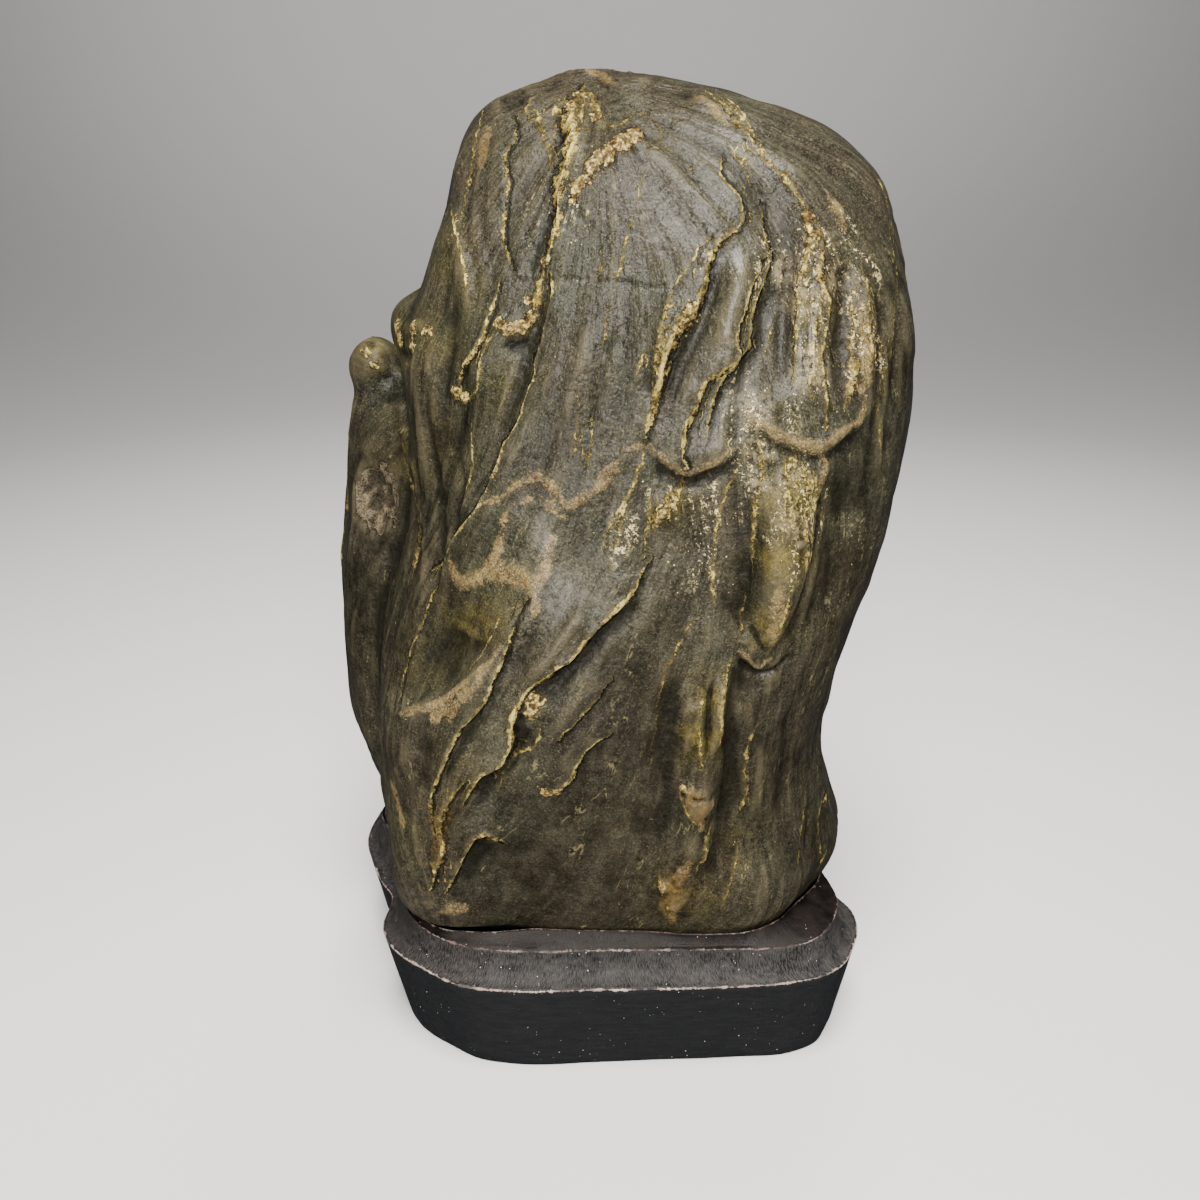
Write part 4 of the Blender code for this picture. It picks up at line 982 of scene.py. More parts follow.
broad = rough_noise(points, 34.0)
store(stone_mesh, "grain", *grain.T)
store(stone_mesh, "vein", signed, plain, half)
store(stone_mesh, "band", band_off, band_half, crust)
store(stone_mesh, "hollow", *hollows, scar)
store(
    stone_mesh, "tint",
    on_skin(OLIVE, 0.6 * eased(broad * 1.6 + 0.3)),
    on_skin(SHEEN, eased(-broad * 1.5)),
    on_skin(BROWN, eased(rough_noise(points, 25.0) * 1.8)),
)
# the bright grains, the dark patches with their painted shade, and the ledges' drop
store(stone_mesh, "sparkle", on_skin(GLITTER, 0.06), on_skin(DARK_AND_SHADED, 0.4), drop)
pick_only(stone)
bpy.ops.object.shade_smooth()


def maths(operation, first, second=0.0, third=0.0):
    node = add_node("ShaderNodeMath", operation=operation)
    for socket, value in zip(node.inputs, (first, second, third)):
        feed(socket, value)
    return node.outputs[0]


def chained(operation, values):
    total = values[0]
    for value in values[1:]:
        total = maths(operation, total, value)
    return total


def times(*values):
    return chained("MULTIPLY", values)


def plus(*values):
    return chained("ADD", values)


def most(*values):
    return chained("MAXIMUM", values)


def less(value, amount):
    """1 where value is nought, down to 1 - amount where it is 1."""
    return maths("MULTIPLY_ADD", value, -amount, 1.0)


def off_from(value, middle):
    return maths("ABSOLUTE", maths("SUBTRACT", value, middle))


def swaying(noise_value, amount):
    """Noise made to sway either side of nought by about amount."""
    return maths("MULTIPLY_ADD", noise_value, 4 * amount, -2 * amount)


def stored(name):
    return add_node("ShaderNodeAttribute", attribute_name=name).outputs["Vector"]


def parts_of(vector):
    node = add_node("ShaderNodeSeparateXYZ")
    feed(node.inputs[0], vector)
    return node.outputs


def start_group(name, output, **numbers):
    """A group that takes a place and some numbers, and gives one number back."""
    group = bpy.data.node_groups.new(name, "ShaderNodeTree")
    sockets = group.interface
    sockets.new_socket(name="Where", in_out="INPUT", socket_type="NodeSocketVector")
    for socket, value in numbers.items():
        made = sockets.new_socket(name=socket, in_out="INPUT", socket_type="NodeSocketFloat")
        made.default_value = value
    sockets.new_socket(name=output, in_out="OUTPUT", socket_type="NodeSocketFloat")
    taken = group.nodes.new("NodeGroupInput").outputs
    return group, taken, group.nodes.new("NodeGroupOutput").inputs[0]


def from_group(group, where, **values):
    node = add_node("ShaderNodeGroup", node_tree=group)
    feed(node.inputs["Where"], where)
    for name, value in values.items():
        feed(node.inputs[name.capitalize()], value)
    return node.outputs[0]


# Grains: tiny bright or dark spots, each its own size, scattered by amount.
grains, taken, given = start_group("grains", "Mask", Size=0.8, Amount=0.3)
tree = grains
cells = add_node("ShaderNodeTexVoronoi")
feed(cells.inputs["Vector"], taken["Where"])
feed(cells.inputs["Scale"], maths("DIVIDE", 1.0, taken["Size"]))
chance = add_node("ShaderNodeSeparateColor")
feed(chance.inputs[0], cells.outputs["Color"])
spot_size = maths("MULTIPLY_ADD", chance.outputs[1], 0.28, 0.12)
spot = maths("LESS_THAN", cells.outputs["Distance"], spot_size)
feed(given, times(spot, maths("LESS_THAN", chance.outputs[0], taken["Amount"])))

# Streaks: long fibres that run with the layers of stone or the grain of wood.
streaks, taken, given = start_group("streaks", "Tone", Size=2.0, Softness=0.2)
tree = streaks
fibres = add_node("ShaderNodeTexNoise")
feed(fibres.inputs["Vector"], taken["Where"])
feed(fibres.inputs["Scale"], maths("DIVIDE", 1.0, taken["Size"]))
fibres.inputs["Detail"].default_value = 4
fibres.inputs["Roughness"].default_value = 0.62
low_end = maths("SUBTRACT", 0.5, taken["Softness"])
high_end = plus(0.5, taken["Softness"])
feed(given, spread(fibres.outputs["Fac"], low_end, high_end))

veined_rock, tree, shader = new_finish("veined_rock")
here = in_millimetres()
layer = stored("grain")
line, off_line, line_half = parts_of(stored("vein"))
off_band, band_wide, crusted = parts_of(stored("band"))
hollow, broad_hollow, scar = parts_of(stored("hollow"))
olive, sheen, brown = parts_of(stored("tint"))
# deep holds the dark patches: dark rock and painted shade together
sparkle, deep, drop = parts_of(stored("sparkle"))

# the rock itself, from its darkest layers to its palest
broad_tone = from_group(streaks, layer, size=6.0, softness=0.22)
fine_tone = from_group(streaks, layer, size=1.5, softness=0.22)
hair_tone = from_group(streaks, layer, size=0.45, softness=0.24)
clouds = cloudy(here, 24.0, detail=5, rough=0.6)
blotch = cloudy(here, 8.0, detail=5, rough=0.62)
mottle = cloudy(here, 2.2, detail=5, rough=0.68)
grit = cloudy(here, 0.55, detail=3, rough=0.8)
base_tone = plus(
    times(broad_tone, 0.38),
    times(spread(blotch, 0.35, 0.65), 0.2),
    times(spread(mottle, 0.3, 0.7), 0.42),
)
colour = mixed(base_tone, (23, 22, 19), (57, 53, 45))
greenish = mixed(base_tone, (23, 25, 20), (55, 56, 46))
colour = mixed(spread(clouds, 0.42, 0.58), colour, greenish)

# stained olive, gold and brown, and a paler grey painted sheen where it is handled most
olive_share = times(olive, spread(blotch, 0.34, 0.58, 0.3, 0.95))
gold_tone = plus(times(fine_tone, 0.3), times(blotch, 0.7))
gold = times(spread(olive, 0.6, 1.1), spread(gold_tone, 0.36, 0.62, 0.25, 1.0))
brown_share = times(brown, spread(blotch, 0.62, 0.38, 0.3, 0.8))
sheen_share = times(sheen, spread(blotch, 0.28, 0.6, 0.6, 0.95))
for share, dark, pale in (
    (olive_share, (26, 24, 9), (84, 76, 34)),
    (gold, (24, 20, 4), (128, 112, 40)),
    (brown_share, (26, 22, 16), (64, 55, 42)),
    (sheen_share, (31, 31, 25), (76, 74, 60)),
):
    colour = mixed(share, colour, mixed(base_tone, dark, pale))

# dark stains, pale and dark fibres, dark and pale grit
stain = spread(cloudy(here, 6.0, detail=5, rough=0.65, drift=0.6), 0.60, 0.70)
for share, tone in (
    (times(stain, 0.6), (17, 17, 17)),
    (times(spread(fine_tone, 0.35, 1.0), 0.2), (94, 90, 74)),
    (times(spread(hair_tone, 0.5, 1.0), 0.32), (18, 18, 12)),
    (times(spread(grit, 0.56, 0.36), 0.45), (10, 10, 7)),
    (times(spread(grit, 0.54, 0.70), 0.36), (128, 118, 90)),
):
    colour = mixed(share, colour, tone)
# darker in the dark patches, which are partly painted shade
dark_and_shade_share = times(deep, spread(blotch, 0.66, 0.36, 0.45, 0.9))
colour = mixed(dark_and_shade_share, colour, mixed(base_tone, (9, 9, 6), (36, 33, 22)))
not_gold = maths("SUBTRACT", 1.0, gold)
paler = times(spread(sparkle, 0.5, 1.0), spread(mottle, 0.4, 0.6), not_gold)
colour = mixed(times(paler, 0.6), colour, (128, 117, 92))

# the scar: greyish brown, dull and rough
scar = spread(plus(scar, swaying(mottle, 0.25)), 0.42, 0.56)
scar_tone = spread(plus(times(mottle, 0.5), times(grit, 0.5)), 0.38, 0.6)
colour = mixed(times(scar, 0.92), colour, mixed(scar_tone, (26, 24, 19), (104, 93, 74)))

# threads: hairline veins too fine to set out one by one
thread_off = off_from(cloudy(layer, 5.0, detail=4, rough=0.6), 0.5)
thread = spread(thread_off, 0.003, 0.012, 1, 0)
thread_gate = spread(cloudy(here, 12.0, detail=3), 0.50, 0.62)
thread = times(thread, thread_gate, spread(mottle, 0.44, 0.56))
colour = mixed(times(thread, 0.4), colour, (126, 116, 82))

# cracks: dark hairlines that cross the layers
crack_off = off_from(cloudy(here, 16.0, detail=6, rough=0.62, drift=0.8), 0.47)
crack_gate = spread(cloudy(here, 9.0, detail=2), 0.5, 0.6)
crack = times(spread(crack_off, 0.0006, 0.0035, 1, 0), crack_gate)
colour = mixed(times(crack, 0.8), colour, (10, 9, 6))

# bands: tan stain with torn, cloudy edges, browner where the stone is
band_edge = plus(
    off_band,
    swaying(cloudy(here, 5.0, detail=3), 1.1),
    swaying(cloudy(here, 1.4, detail=4, rough=0.7), 1.0),
)
band_outer = plus(times(band_wide, 1.15), 0.6)
band = spread(band_edge, times(band_wide, 0.45), band_outer, 1, 0)
band = times(band, spread(mottle, 0.34, 0.6, 0.35, 0.95))
band_colour = mixed(spread(blotch, 0.4, 0.6), (70, 59, 38), (104, 91, 58))
band_colour = mixed(spread(grit, 0.45, 0.65), band_colour, (142, 122, 84))
rusty = spread(cloudy(here, 1.8, detail=3), 0.58, 0.68)
band_colour = mixed(times(rusty, 0.7), band_colour, (106, 68, 36))
brown_band = mixed(mottle, (30, 20, 8), (104, 80, 36))
band_colour = mixed(times(spread(brown, 0.3, 0.9), 0.85), band_colour, brown_band)
colour = mixed(times(band, 0.88), colour, band_colour)

# veins: where their wandering edges are, and how wide and how whole they are
wander = plus(
    swaying(cloudy(here, 3.5, detail=2), 0.5),
    swaying(cloudy(here, 1.1, detail=3, rough=0.7), 0.55),
)
line_now = plus(line, wander)
line_off = maths("ABSOLUTE", line_now)
swell = spread(cloudy(here, 3.2, detail=3), 0.36, 0.64, 0.35, 1.5)
thick = times(line_half, swell)
near_line = spread(off_line, plus(line_half, 1.2), plus(line_half, 2.2), 1, 0)
body = spread(line_off, maths("SUBTRACT", thick, 0.15), plus(thick, 0.2), 1, 0)
drop_size = maths("ABSOLUTE", drop)
whole = most(spread(line_half, 0.7, 1.3), spread(drop_size, 0.3, 1.2, 0, 0.8))
whole = times(whole, less(sparkle, 0.8))
broken = spread(cloudy(here, 2.6, detail=4, rough=0.7), 0.42, 0.54, 0.06, 1.0)
body = times(body, near_line, most(broken, whole))

# their dull stained margin
edge = spread(line_off, thick, plus(times(thick, 1.3), 0.45), 1, 0)
edge_gate = spread(blotch, 0.36, 0.6, 0.15, 0.7)
edge = times(edge, near_line, edge_gate, less(deep, 0.6), less(sheen, 0.6))
colour = mixed(edge, colour, mixed(mottle, (36, 32, 18), (84, 75, 42)))

# their body: crusty ochre, greener or browner with the stone, cream where it is worn
speckle = spread(plus(times(mottle, 0.6), times(grit, 0.4)), 0.42, 0.58)
body_tone = mixed(speckle, (50, 40, 20), (154, 134, 68))
greener = times(olive, spread(blotch, 0.4, 0.6, 0.3, 1.0))
body_tone = mixed(greener, body_tone, mixed(speckle, (50, 45, 16), (134, 122, 56)))
worn = plus(spread(hollow, 0.05, -0.35), swaying(cloudy(here, 1.7, detail=4, rough=0.7), 0.8))
# less cream where the dark patches paint shade, and on olive rock
worn = times(spread(worn, 0.4, 0.95), less(deep, 0.75), less(olive, 0.6))
browner = times(brown, spread(blotch, 0.4, 0.55), 0.7)
body_tone = mixed(browner, body_tone, mixed(mottle, (66, 46, 26), (132, 106, 66)))
stained = most(deep, most(times(brown, 0.9), times(olive, 0.7)))
slender = times(spread(line_half, 0.45, 0.8, 1, 0), spread(stained, 0.1, 0.8, 1, 0.05))
body_tone = mixed(times(slender, 0.6), body_tone, (180, 165, 102))
crown = spread(line_off, times(thick, 0.15), times(thick, 0.75), 1, 0)
cream = times(worn, spread(crown, 0, 1, 0.35, 0.95))
body_tone = mixed(cream, body_tone, (228, 210, 126))
body_tone = mixed(times(spread(grit, 0.48, 0.34), 0.7), body_tone, (44, 34, 18))
body_tone = mixed(times(spread(mottle, 0.49, 0.38), 0.85), body_tone, (40, 31, 16))
# the veins fade where the dark patches paint shade
colour = mixed(times(body, less(deep, 0.5)), colour, body_tone)

# painted shadow along their low side, also cut in as a slight groove in the bump
low_side = times(line_now, maths("SIGN", drop), -1.0)
ledge_shadow_and_groove = spread(low_side, times(thick, 0.7), plus(times(thick, 0.9), 0.25), 0, 1)
ledge_shadow_and_groove = times(ledge_shadow_and_groove, spread(low_side, plus(thick, 0.45), plus(thick, 1.5), 1, 0))
ledge_shadow_and_groove = times(ledge_shadow_and_groove, spread(drop_size, 0.05, 0.6), near_line)
colour = mixed(times(ledge_shadow_and_groove, 0.85), colour, (10, 9, 5))

# crust: knobbly lime and iron, pitted brown between pale crests
nodules = cloudy(here, 1.3, detail=4, rough=0.65)
crust = spread(plus(crusted, swaying(nodules, 0.4), swaying(mottle, 0.35)), 0.36, 0.58)
crust_tone = mixed(spread(nodules, 0.42, 0.53), (44, 33, 19), (132, 113, 62))
pale_crest = times(spread(nodules, 0.53, 0.61), less(most(deep, olive), 0.6))
crust_tone = mixed(pale_crest, crust_tone, (220, 208, 134))
crust_tone = mixed(times(rusty, 0.3), crust_tone, (108, 70, 40))
brown_crust = mixed(nodules, (30, 22, 12), (138, 104, 64))
crust_tone = mixed(times(brown, 0.7), crust_tone, brown_crust)
colour = mixed(times(crust, 0.95), colour, crust_tone)

# bright grains, then dirt and painted shade in the hollows and polish on the crests
flakes = spread(cloudy(here, 1.3, detail=5, rough=0.75, drift=0.7), 0.54, 0.58)
flakes = times(flakes, spread(cloudy(layer, 1.5, detail=2, drift=0.5), 0.44, 0.54))
flake_field = plus(cloudy(layer, 3.6, detail=3), times(sparkle, 0.16))
flakes = times(flakes, spread(flake_field, 0.54, 0.62), spread(sparkle, 0.05, 0.3))
single = from_group(grains, here, size=0.55, amount=times(sparkle, 0.10))
bright = most(flakes, single)
colour = mixed(times(bright, 0.85), colour, (212, 196, 146))
sunk = plus(hollow, times(broad_hollow, 0.35), swaying(mottle, 0.12))
# dark in the hollows: dirt and painted shade
dirt_and_shade = times(spread(sunk, 0.05, 0.65), 0.72)
colour = mixed(dirt_and_shade, colour, (11, 10, 6))
crest = times(spread(plus(hollow, swaying(mottle, 0.1)), -0.08, -0.45), 0.16)
colour = mixed(crest, colour, (116, 107, 82))
feed(shader.inputs["Base Color"], colour)

# the surface: low gloss with a thin coat of wax where hands have rubbed it
gloss = plus(
    spread(mottle, 0.3, 0.7, 0.24, 0.37),
    times(sheen_share, -0.06),
    times(dirt_and_shade, 0.15),
    times(crust, 0.1),
    times(scar, 0.3),
    times(deep, 0.12),
    times(gold, 0.1),
)
feed(shader.inputs["Roughness"], gloss)
shader.inputs["Specular IOR Level"].default_value = 0.12
wax = times(
    sheen_share,
    spread(fine_tone, 0.0, 1.0, 0.5, 1.0),
    spread(mottle, 0.35, 0.6, 0.5, 1.0),
    maths("SUBTRACT", 1.0, dirt_and_shade),
    maths("SUBTRACT", 1.0, deep),
)
feed(shader.inputs["Coat Weight"], times(wax, 0.34))
shader.inputs["Coat Roughness"].default_value = 0.14


def raise_surface(height):
    """Fine relief, in millimetres."""
    bump = add_node("ShaderNodeBump")
    bump.inputs["Strength"].default_value = 1
    bump.inputs["Distance"].default_value = MM
    feed(bump.inputs["Height"], height)
    feed(shader.inputs["Normal"], bump.outputs[0])


raise_surface(plus(
    times(fine_tone, 0.08),
    times(cloudy(here, 5.0, detail=3), 0.9),
    times(cloudy(here, 1.8, detail=2), 0.30),
    times(cloudy(here, 1.0, detail=1), 0.13),
    times(cloudy(here, 0.6, detail=1), 0.04),
    times(scar, mottle, 1.2),
    times(body, plus(0.1, times(mottle, 1.0))),
    times(ledge_shadow_and_groove, -0.45),
    times(crack, -0.2),
    times(thread, 0.10),
    times(crust, plus(0.2, times(nodules, 1.6))),
    times(band, 0.12),
    times(bright, 0.12),
))
stone_mesh.materials.append(veined_rock)

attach(stone, "root")
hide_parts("stone")

# ---------------------------------------------------------------------------------------
# The carved stand. One block of dark wood: a flared wall, a hollow moulding filed by hand
# above it, and a lip round a recess that is cut to the stone's foot. It is stained black,
# rubbed brown on the mouldings and worn pale along its edges.

# Outlines as points (right, back) from the middle: at the foot, the wall's top and the rim.
FOOT_LINE = [
    (73, -4), (77, 8), (79.5, 22), (78, 38), (69, 52), (50, 59), (22, 60), (-10, 60), (-42, 59.5),
    (-63, 55), (-75, 45), (-79, 30), (-80, 17), (-77, 7), (-71, -6), (-67, -16), (-66, -23),
    (-67, -29), (-65.5, -34), (-59.5, -43.5), (-49.5, -51.5), (-39.5, -57.5), (-30, -59.5),
    (0, -59), (30, -57.5), (46, -56.5), (63.5, -54.5), (72, -50), (76.5, -43), (80, -35),
    (79.5, -26), (75.5, -16),
]
WALL_LINE = [
    (79.5, -4), (83, 8), (85.5, 22), (84, 39), (75, 55), (54, 63.5), (23, 65), (-11, 65),
    (-46, 64.5), (-69, 60), (-81.5, 50), (-86.5, 34), (-87.5, 18.5), (-84, 7), (-77, -9),
    (-73, -15.5), (-72.5, -20), (-73, -25), (-73.5, -31), (-71.5, -38), (-65, -47),
    (-55.5, -54.5), (-49, -59), (-41, -62.5), (-34.5, -63.5), (0, -63.5), (44, -62), (60.5, -60),
    (73, -56), (79, -51), (83.5, -43), (87, -32), (86.5, -23.5), (82, -14.5),
]
RIM_LINE = [
    (73, -4), (77, 8), (79, 22), (77, 36), (69, 49), (50, 56), (22, 57.5), (-11, 57.5), (-44, 57),
    (-63, 53), (-74.5, 44), (-79.5, 30), (-81, 17), (-77.5, 9.5), (-72, -1.5), (-69.5, -11.5),
    (-67, -20.5), (-66, -30), (-63.5, -38.5), (-59, -45.5), (-52.5, -51), (-45, -54.5),
    (-39, -56), (-34, -56.5), (0, -56), (29, -56.5), (42.5, -56.5), (58, -56), (66.5, -54),
    (72.5, -49.5), (76, -44), (78.5, -35.5), (78, -29), (75.5, -17),
]

# How high the rim and the crest inside it stand, and how wide the lip is between them:
# bearing in degrees, then millimetres.
RIM_HEIGHTS = [
    (0, 46), (40, 46), (140, 46), (190, 46), (216, 45.8), (236, 44.2), (300, 44.2), (318, 45),
    (335, 47.5), (348, 47),
]
CREST_HEIGHTS = [
    (0, 47.5), (40, 47.5), (140, 47.5), (190, 46.6), (216, 46.6), (236, 47), (280, 48), (318, 49),
    (335, 49.5), (348, 48.5),
]
LIP_WIDTHS = [
    (0, 9), (60, 7), (120, 7), (140, 7), (152, 4), (162, 2), (190, 1.6), (217, 2.6), (228, 4.4),
    (237, 6), (245, 7.5), (254, 8.5), (300, 9), (312, 12), (330, 13), (345, 12),
]

STAND_ROUND = 540  # points in each ring
WALL_TOP = 34.0
WALL_RINGS = 14
FOOT_EDGE = 0.5
WALL_EDGE = 0.42
COVE_RINGS = 18
COVE_REACH = 0.985  # share of the way in to the rim that the hollow takes
COVE_RISE = 0.84  # share of the rim's height that it takes, the rest is a small face
RIM_EDGE = 0.35
LIP_RINGS = 7
LIP_DISH = 0.35
LEAST_LIP = 0.9
RECESS_RINGS = 9
RECESS_FLOOR = 38.0
RECESS_EDGE = 0.35
STONE_ROOM = 0.35


def on_loop(angle, value):
    """A smooth closed curve through value at angle, read at every spoke."""
    turned = angle.argsort()
    angle, value = angle[turned], value[turned]
    knots = np.concatenate([angle - 360, angle, angle + 360])
    return smooth_curve(knots, np.tile(value, 3), bearings)


def outline(line):
    right, back = np.array(line, float).T
    return on_loop(np.degrees(np.arctan2(back, right)) % 360, np.hypot(right, back))


def hand_wave(size, level):
    """A slow waver round the stand, as a hand-cut edge has."""
    ring = np.stack([80 * np.cos(turns), 80 * np.sin(turns), np.full(STAND_ROUND, level)], 1)
    return rough_noise(ring, size)


bearings = np.arange(STAND_ROUND) * 360 / STAND_ROUND
turns = np.radians(bearings)
foot, wall, rim = (outline(line) for line in (FOOT_LINE, WALL_LINE, RIM_LINE))
rim_top, crest, lip = (
    on_loop(*np.array(table, float).T) for table in (RIM_HEIGHTS, CREST_HEIGHTS, LIP_WIDTHS)
)

# The recess keeps clear of the stone: its edge is felt for from outside, at four heights.
SEAT_HEIGHTS = (39, 42, 45)
skin_tree = BVHTree.FromObject(stone, bpy.context.evaluated_depsgraph_get())
stone_edge = np.zeros(STAND_ROUND)
for i, turn in enumerate(turns):
    outwards = Vector((math.cos(turn), math.sin(turn), 0))
    for height in (*SEAT_HEIGHTS, crest[i]):
        hit = skin_tree.ray_cast(outwards * 0.2 + Vector((0, 0, height * MM)), -outwards)[0]
        if hit:
            stone_edge[i] = max(stone_edge[i], math.hypot(hit.x, hit.y) / MM)
stone_edge = np.stack([np.roll(stone_edge, shift) for shift in range(-3, 4)]).max(0)
inner = np.maximum(rim - lip + 0.5 * hand_wave(9, 3), stone_edge + STONE_ROOM)
inner = np.stack([np.roll(inner, shift) for shift in range(-2, 3)]).mean(0)
inner = np.minimum(np.maximum(inner, stone_edge + STONE_ROOM), rim - LEAST_LIP)

# The profile, ring by ring from the underside: how far out, and how high.
wavy_wall = 0.30 * hand_wave(7, 11) + 0.16 * hand_wave(2.4, 12)
wavy_rim = 0.30 * hand_wave(8, 21) + 0.14 * hand_wave(2.6, 22)
rib = np.minimum(0.18 * hand_wave(3.0, 31), 0.1)
profile = [(foot - 1.4, 0.0), (foot - 0.35, 0.05), (foot, FOOT_EDGE)]
for i in range(1, WALL_RINGS + 1):
    height = FOOT_EDGE + (WALL_TOP - 0.9) * i / WALL_RINGS
    profile.append((foot + (wall - foot) * height / WALL_TOP, height))
wall_arris = len(profile)
profile += [
    (wall - 0.12, WALL_TOP - 0.12 + wavy_wall * 0.5),
    (wall - WALL_EDGE + wavy_wall * 0.6, WALL_TOP + 0.02 + wavy_wall * 0.5),
]
for i in range(1, COVE_RINGS + 1):
    turn = math.radians(90 * i / COVE_RINGS)
    inward, rise = COVE_REACH * math.sin(turn), (1 - math.cos(turn)) * COVE_RISE
    out = wall - WALL_EDGE + (rim - wall + WALL_EDGE) * inward
    profile.append((out, WALL_TOP + 0.05 + (rim_top - WALL_TOP) * rise))
profile.append((rim + 0.05, rim_top - 0.9))
rim_arris = len(profile)
profile += [
    (rim + wavy_rim * 0.5, rim_top - 0.25 + wavy_rim * 0.4),
    (rim - RIM_EDGE + wavy_rim * 0.5, rim_top + wavy_rim * 0.4),
]
for i in range(1, LIP_RINGS + 1):
    share = i / (LIP_RINGS + 1)
    dish = LIP_DISH * math.sin(math.pi * share)
    profile.append((rim + (inner - rim) * share, rim_top + (crest - rim_top) * share - dish))
lip_arris = len(profile)
profile += [(inner + 0.3, crest - 0.02), (inner, crest - RECESS_EDGE)]
for i in range(1, RECESS_RINGS + 1):
    share = i / (RECESS_RINGS + 1)
    height = crest - RECESS_EDGE + (RECESS_FLOOR + 0.3 - crest) * share
    profile.append((inner - share * 0.3 + rib, height))
profile.append((inner - 1.2, RECESS_FLOOR))

# The rings are drawn up from a plain round blank, one extrusion each, and then every
# ring is cut to its own line.
bpy.ops.object.select_all(action="DESELECT")
bpy.ops.mesh.primitive_circle_add(vertices=STAND_ROUND, radius=80 * MM, fill_type="NGON")
stand = bpy.context.object
stand.name = "carved_stand"
bpy.ops.object.mode_set(mode="EDIT")
bpy.ops.mesh.select_all(action="SELECT")
bpy.ops.mesh.flip_normals()
bpy.ops.mesh.region_to_loop()
for i in range(1, len(profile)):
    bpy.ops.mesh.extrude_edges_move(TRANSFORM_OT_translate={"value": (0, 0, MM)})
bpy.ops.mesh.edge_face_add()
bpy.ops.mesh.select_all(action="SELECT")
bpy.ops.mesh.normals_make_consistent(inside=False)
bpy.ops.object.mode_set(mode="OBJECT")
stand_mesh = stand.data
rough = points_of(stand_mesh)
ring_of = np.rint(rough[:, 2]).astype(int)
spoke_at = np.degrees(np.arctan2(rough[:, 1], rough[:, 0])) % 360 * STAND_ROUND / 360
spoke_of = np.rint(spoke_at).astype(int) % STAND_ROUND
at = ring_of, spoke_of
out = np.array([np.broadcast_to(ring[0], STAND_ROUND) for ring in profile])
high = np.array([np.broadcast_to(ring[1], STAND_ROUND) for ring in profile])
x, y = out * np.cos(turns), out * np.sin(turns)
cut = np.stack([x[at], y[at], high[at]], 1)

# a little unevenness everywhere, as a hand-cut block has, but none on the flat underside
uneven = 0.16 * rough_noise(cut, 17.0) + 0.07 * rough_noise(cut, 5.0)
outward = cut[:, :2] / np.linalg.norm(cut[:, :2], axis=1)[:, None]
raised = cut[:, 2] > 0.1
cut[raised, :2] += outward[raised] * uneven[raised][:, None] * 0.8
cut[raised, 2] += uneven[raised] * 0.5 * (ring_of[raised] > wall_arris)
stand_low, stand_high = (np.array(corner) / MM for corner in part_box("stand"))
move_points(stand_mesh, np.clip(cut, stand_low, stand_high))

# How far up the profile each point is, how far from each edge, and on which moulding.
steps = np.hypot(np.diff(out, axis=0), np.diff(high, axis=0))
run_up = np.concatenate([np.zeros((1, STAND_ROUND)), np.cumsum(steps, axis=0)])
up_here = run_up[at]
arrises = (wall_arris, rim_arris, lip_arris)
on_cove = (ring_of > wall_arris + 1) & (ring_of < rim_arris)
on_lip = (ring_of >= rim_arris) & (ring_of <= lip_arris + 1)
store(stand_mesh, "along", turns[spoke_of] * 76, up_here, run_up[rim_arris, spoke_of] - up_here)
store(stand_mesh, "edges", *[np.abs(up_here - run_up[ring, spoke_of]) for ring in arrises])
store(stand_mesh, "zone", on_cove, on_lip, ring_of > lip_arris + 1)
pick_only(stand)
bpy.ops.object.shade_smooth()


def stretched(where, factors):
    node = add_node("ShaderNodeVectorMath", operation="MULTIPLY")
    feed(node.inputs[0], where)
    node.inputs[1].default_value = factors
    return node.outputs[0]


black_wood, tree, shader = new_finish("black_stained_wood")
here = in_millimetres()
along = stored("along")
off_wall, off_rim, off_lip = parts_of(stored("edges"))
cove, lips, recess = parts_of(stored("zone"))

# black stain over the grain, browner on the lip
wood_grain = from_group(streaks, stretched(here, (0.12, 1.0, 1.0)), size=1.3, softness=0.2)
smear = cloudy(here, 6.0, detail=4, rough=0.6)
smeared = spread(smear, 0.3, 0.7)
dust = cloudy(here, 0.7, detail=4, rough=0.7)
colour = mixed(wood_grain, (23, 24, 26), (28, 29, 31))
colour = mixed(cove, colour, mixed(smeared, (15, 14, 13), (46, 45, 44)))
colour = mixed(lips, colour, mixed(smeared, (9, 7, 7), (25, 20, 18)))
colour = mixed(recess, colour, (11, 9, 8))

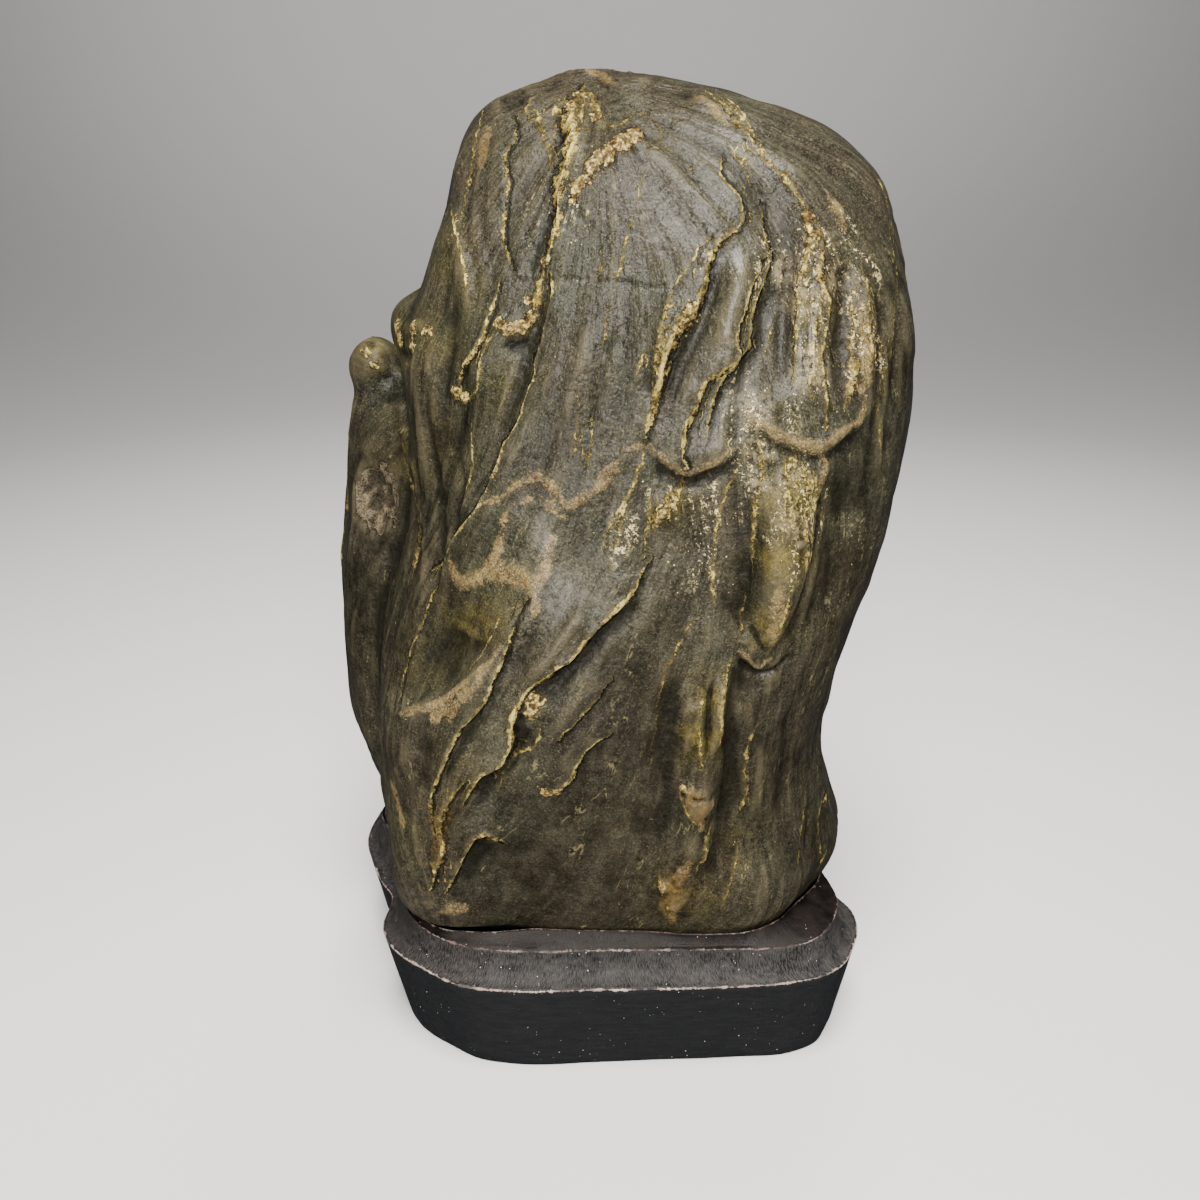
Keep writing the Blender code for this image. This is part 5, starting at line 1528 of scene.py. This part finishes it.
# the moulding is darker up to the mitre at the front left
MITRE = 316  # millimetres round the rim
round_at = parts_of(along)[0]
before_mitre = spread(round_at, MITRE - 0.6, MITRE + 0.6, 1, 0)
before_mitre = times(before_mitre, spread(round_at, 200, 240))
colour = mixed(times(before_mitre, cove, 0.55), colour, (20, 15, 12))
mitre = spread(off_from(round_at, MITRE), 0.1, 0.5, 1, 0)
colour = mixed(times(mitre, cove, 0.7), colour, (9, 7, 6))

# file marks across the moulding, close under half a millimetre apart
filed = cloudy(stretched(along, (1.0, 0.16, 0.0)), 0.32, detail=2, rough=0.6)
colour = mixed(times(spread(filed, 0.38, 0.62), cove, 0.4), colour, (78, 76, 77))

# pale wear along the three edges, chipped and broken, and fainter on the upper two
wear_wide = spread(cloudy(here, 1.6, detail=4, rough=0.7), 0.38, 0.7, 0.05, 1.0)
wall_wear, rim_wear, lip_wear = (
    spread(off_edge, times(wear_wide, whole), times(wear_wide, gone), 1, 0)
    for off_edge, whole, gone in ((off_wall, 0.4, 1.1), (off_rim, 0.3, 0.9), (off_lip, 0.3, 0.9))
)
wear_gate = spread(cloudy(here, 11.0, detail=2), 0.36, 0.56, 0.15, 1.0)
wear = times(most(wall_wear, times(most(rim_wear, lip_wear), 0.45)), wear_gate)
wear_colour = mixed(spread(smear, 0.4, 0.6), (190, 178, 170), (158, 128, 122))
colour = mixed(times(wear, 0.6), colour, wear_colour)

# dust caught on the wall and in the moulding
dusty = spread(cloudy(here, 9.0, detail=3), 0.48, 0.68)
specks = from_group(grains, here, size=0.55, amount=plus(times(dusty, 0.05), 0.003))
specks = times(specks, spread(dust, 0.4, 0.5))
colour = mixed(times(specks, 0.75), colour, (186, 186, 184))
feed(shader.inputs["Base Color"], colour)

feed(shader.inputs["Roughness"], plus(
    spread(smear, 0.3, 0.7, 0.34, 0.5),
    times(cove, 0.06),
    times(specks, 0.3),
    times(recess, 0.2),
))
shader.inputs["Specular IOR Level"].default_value = 0.12
raise_surface(plus(
    times(wood_grain, 0.02),
    times(filed, plus(times(cove, 0.35), times(lips, 0.1))),
    times(dust, 0.08),
    times(wear, -0.12),
    times(specks, 0.1),
))
stand_mesh.materials.append(black_wood)

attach(stand, "root")
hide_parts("stand")
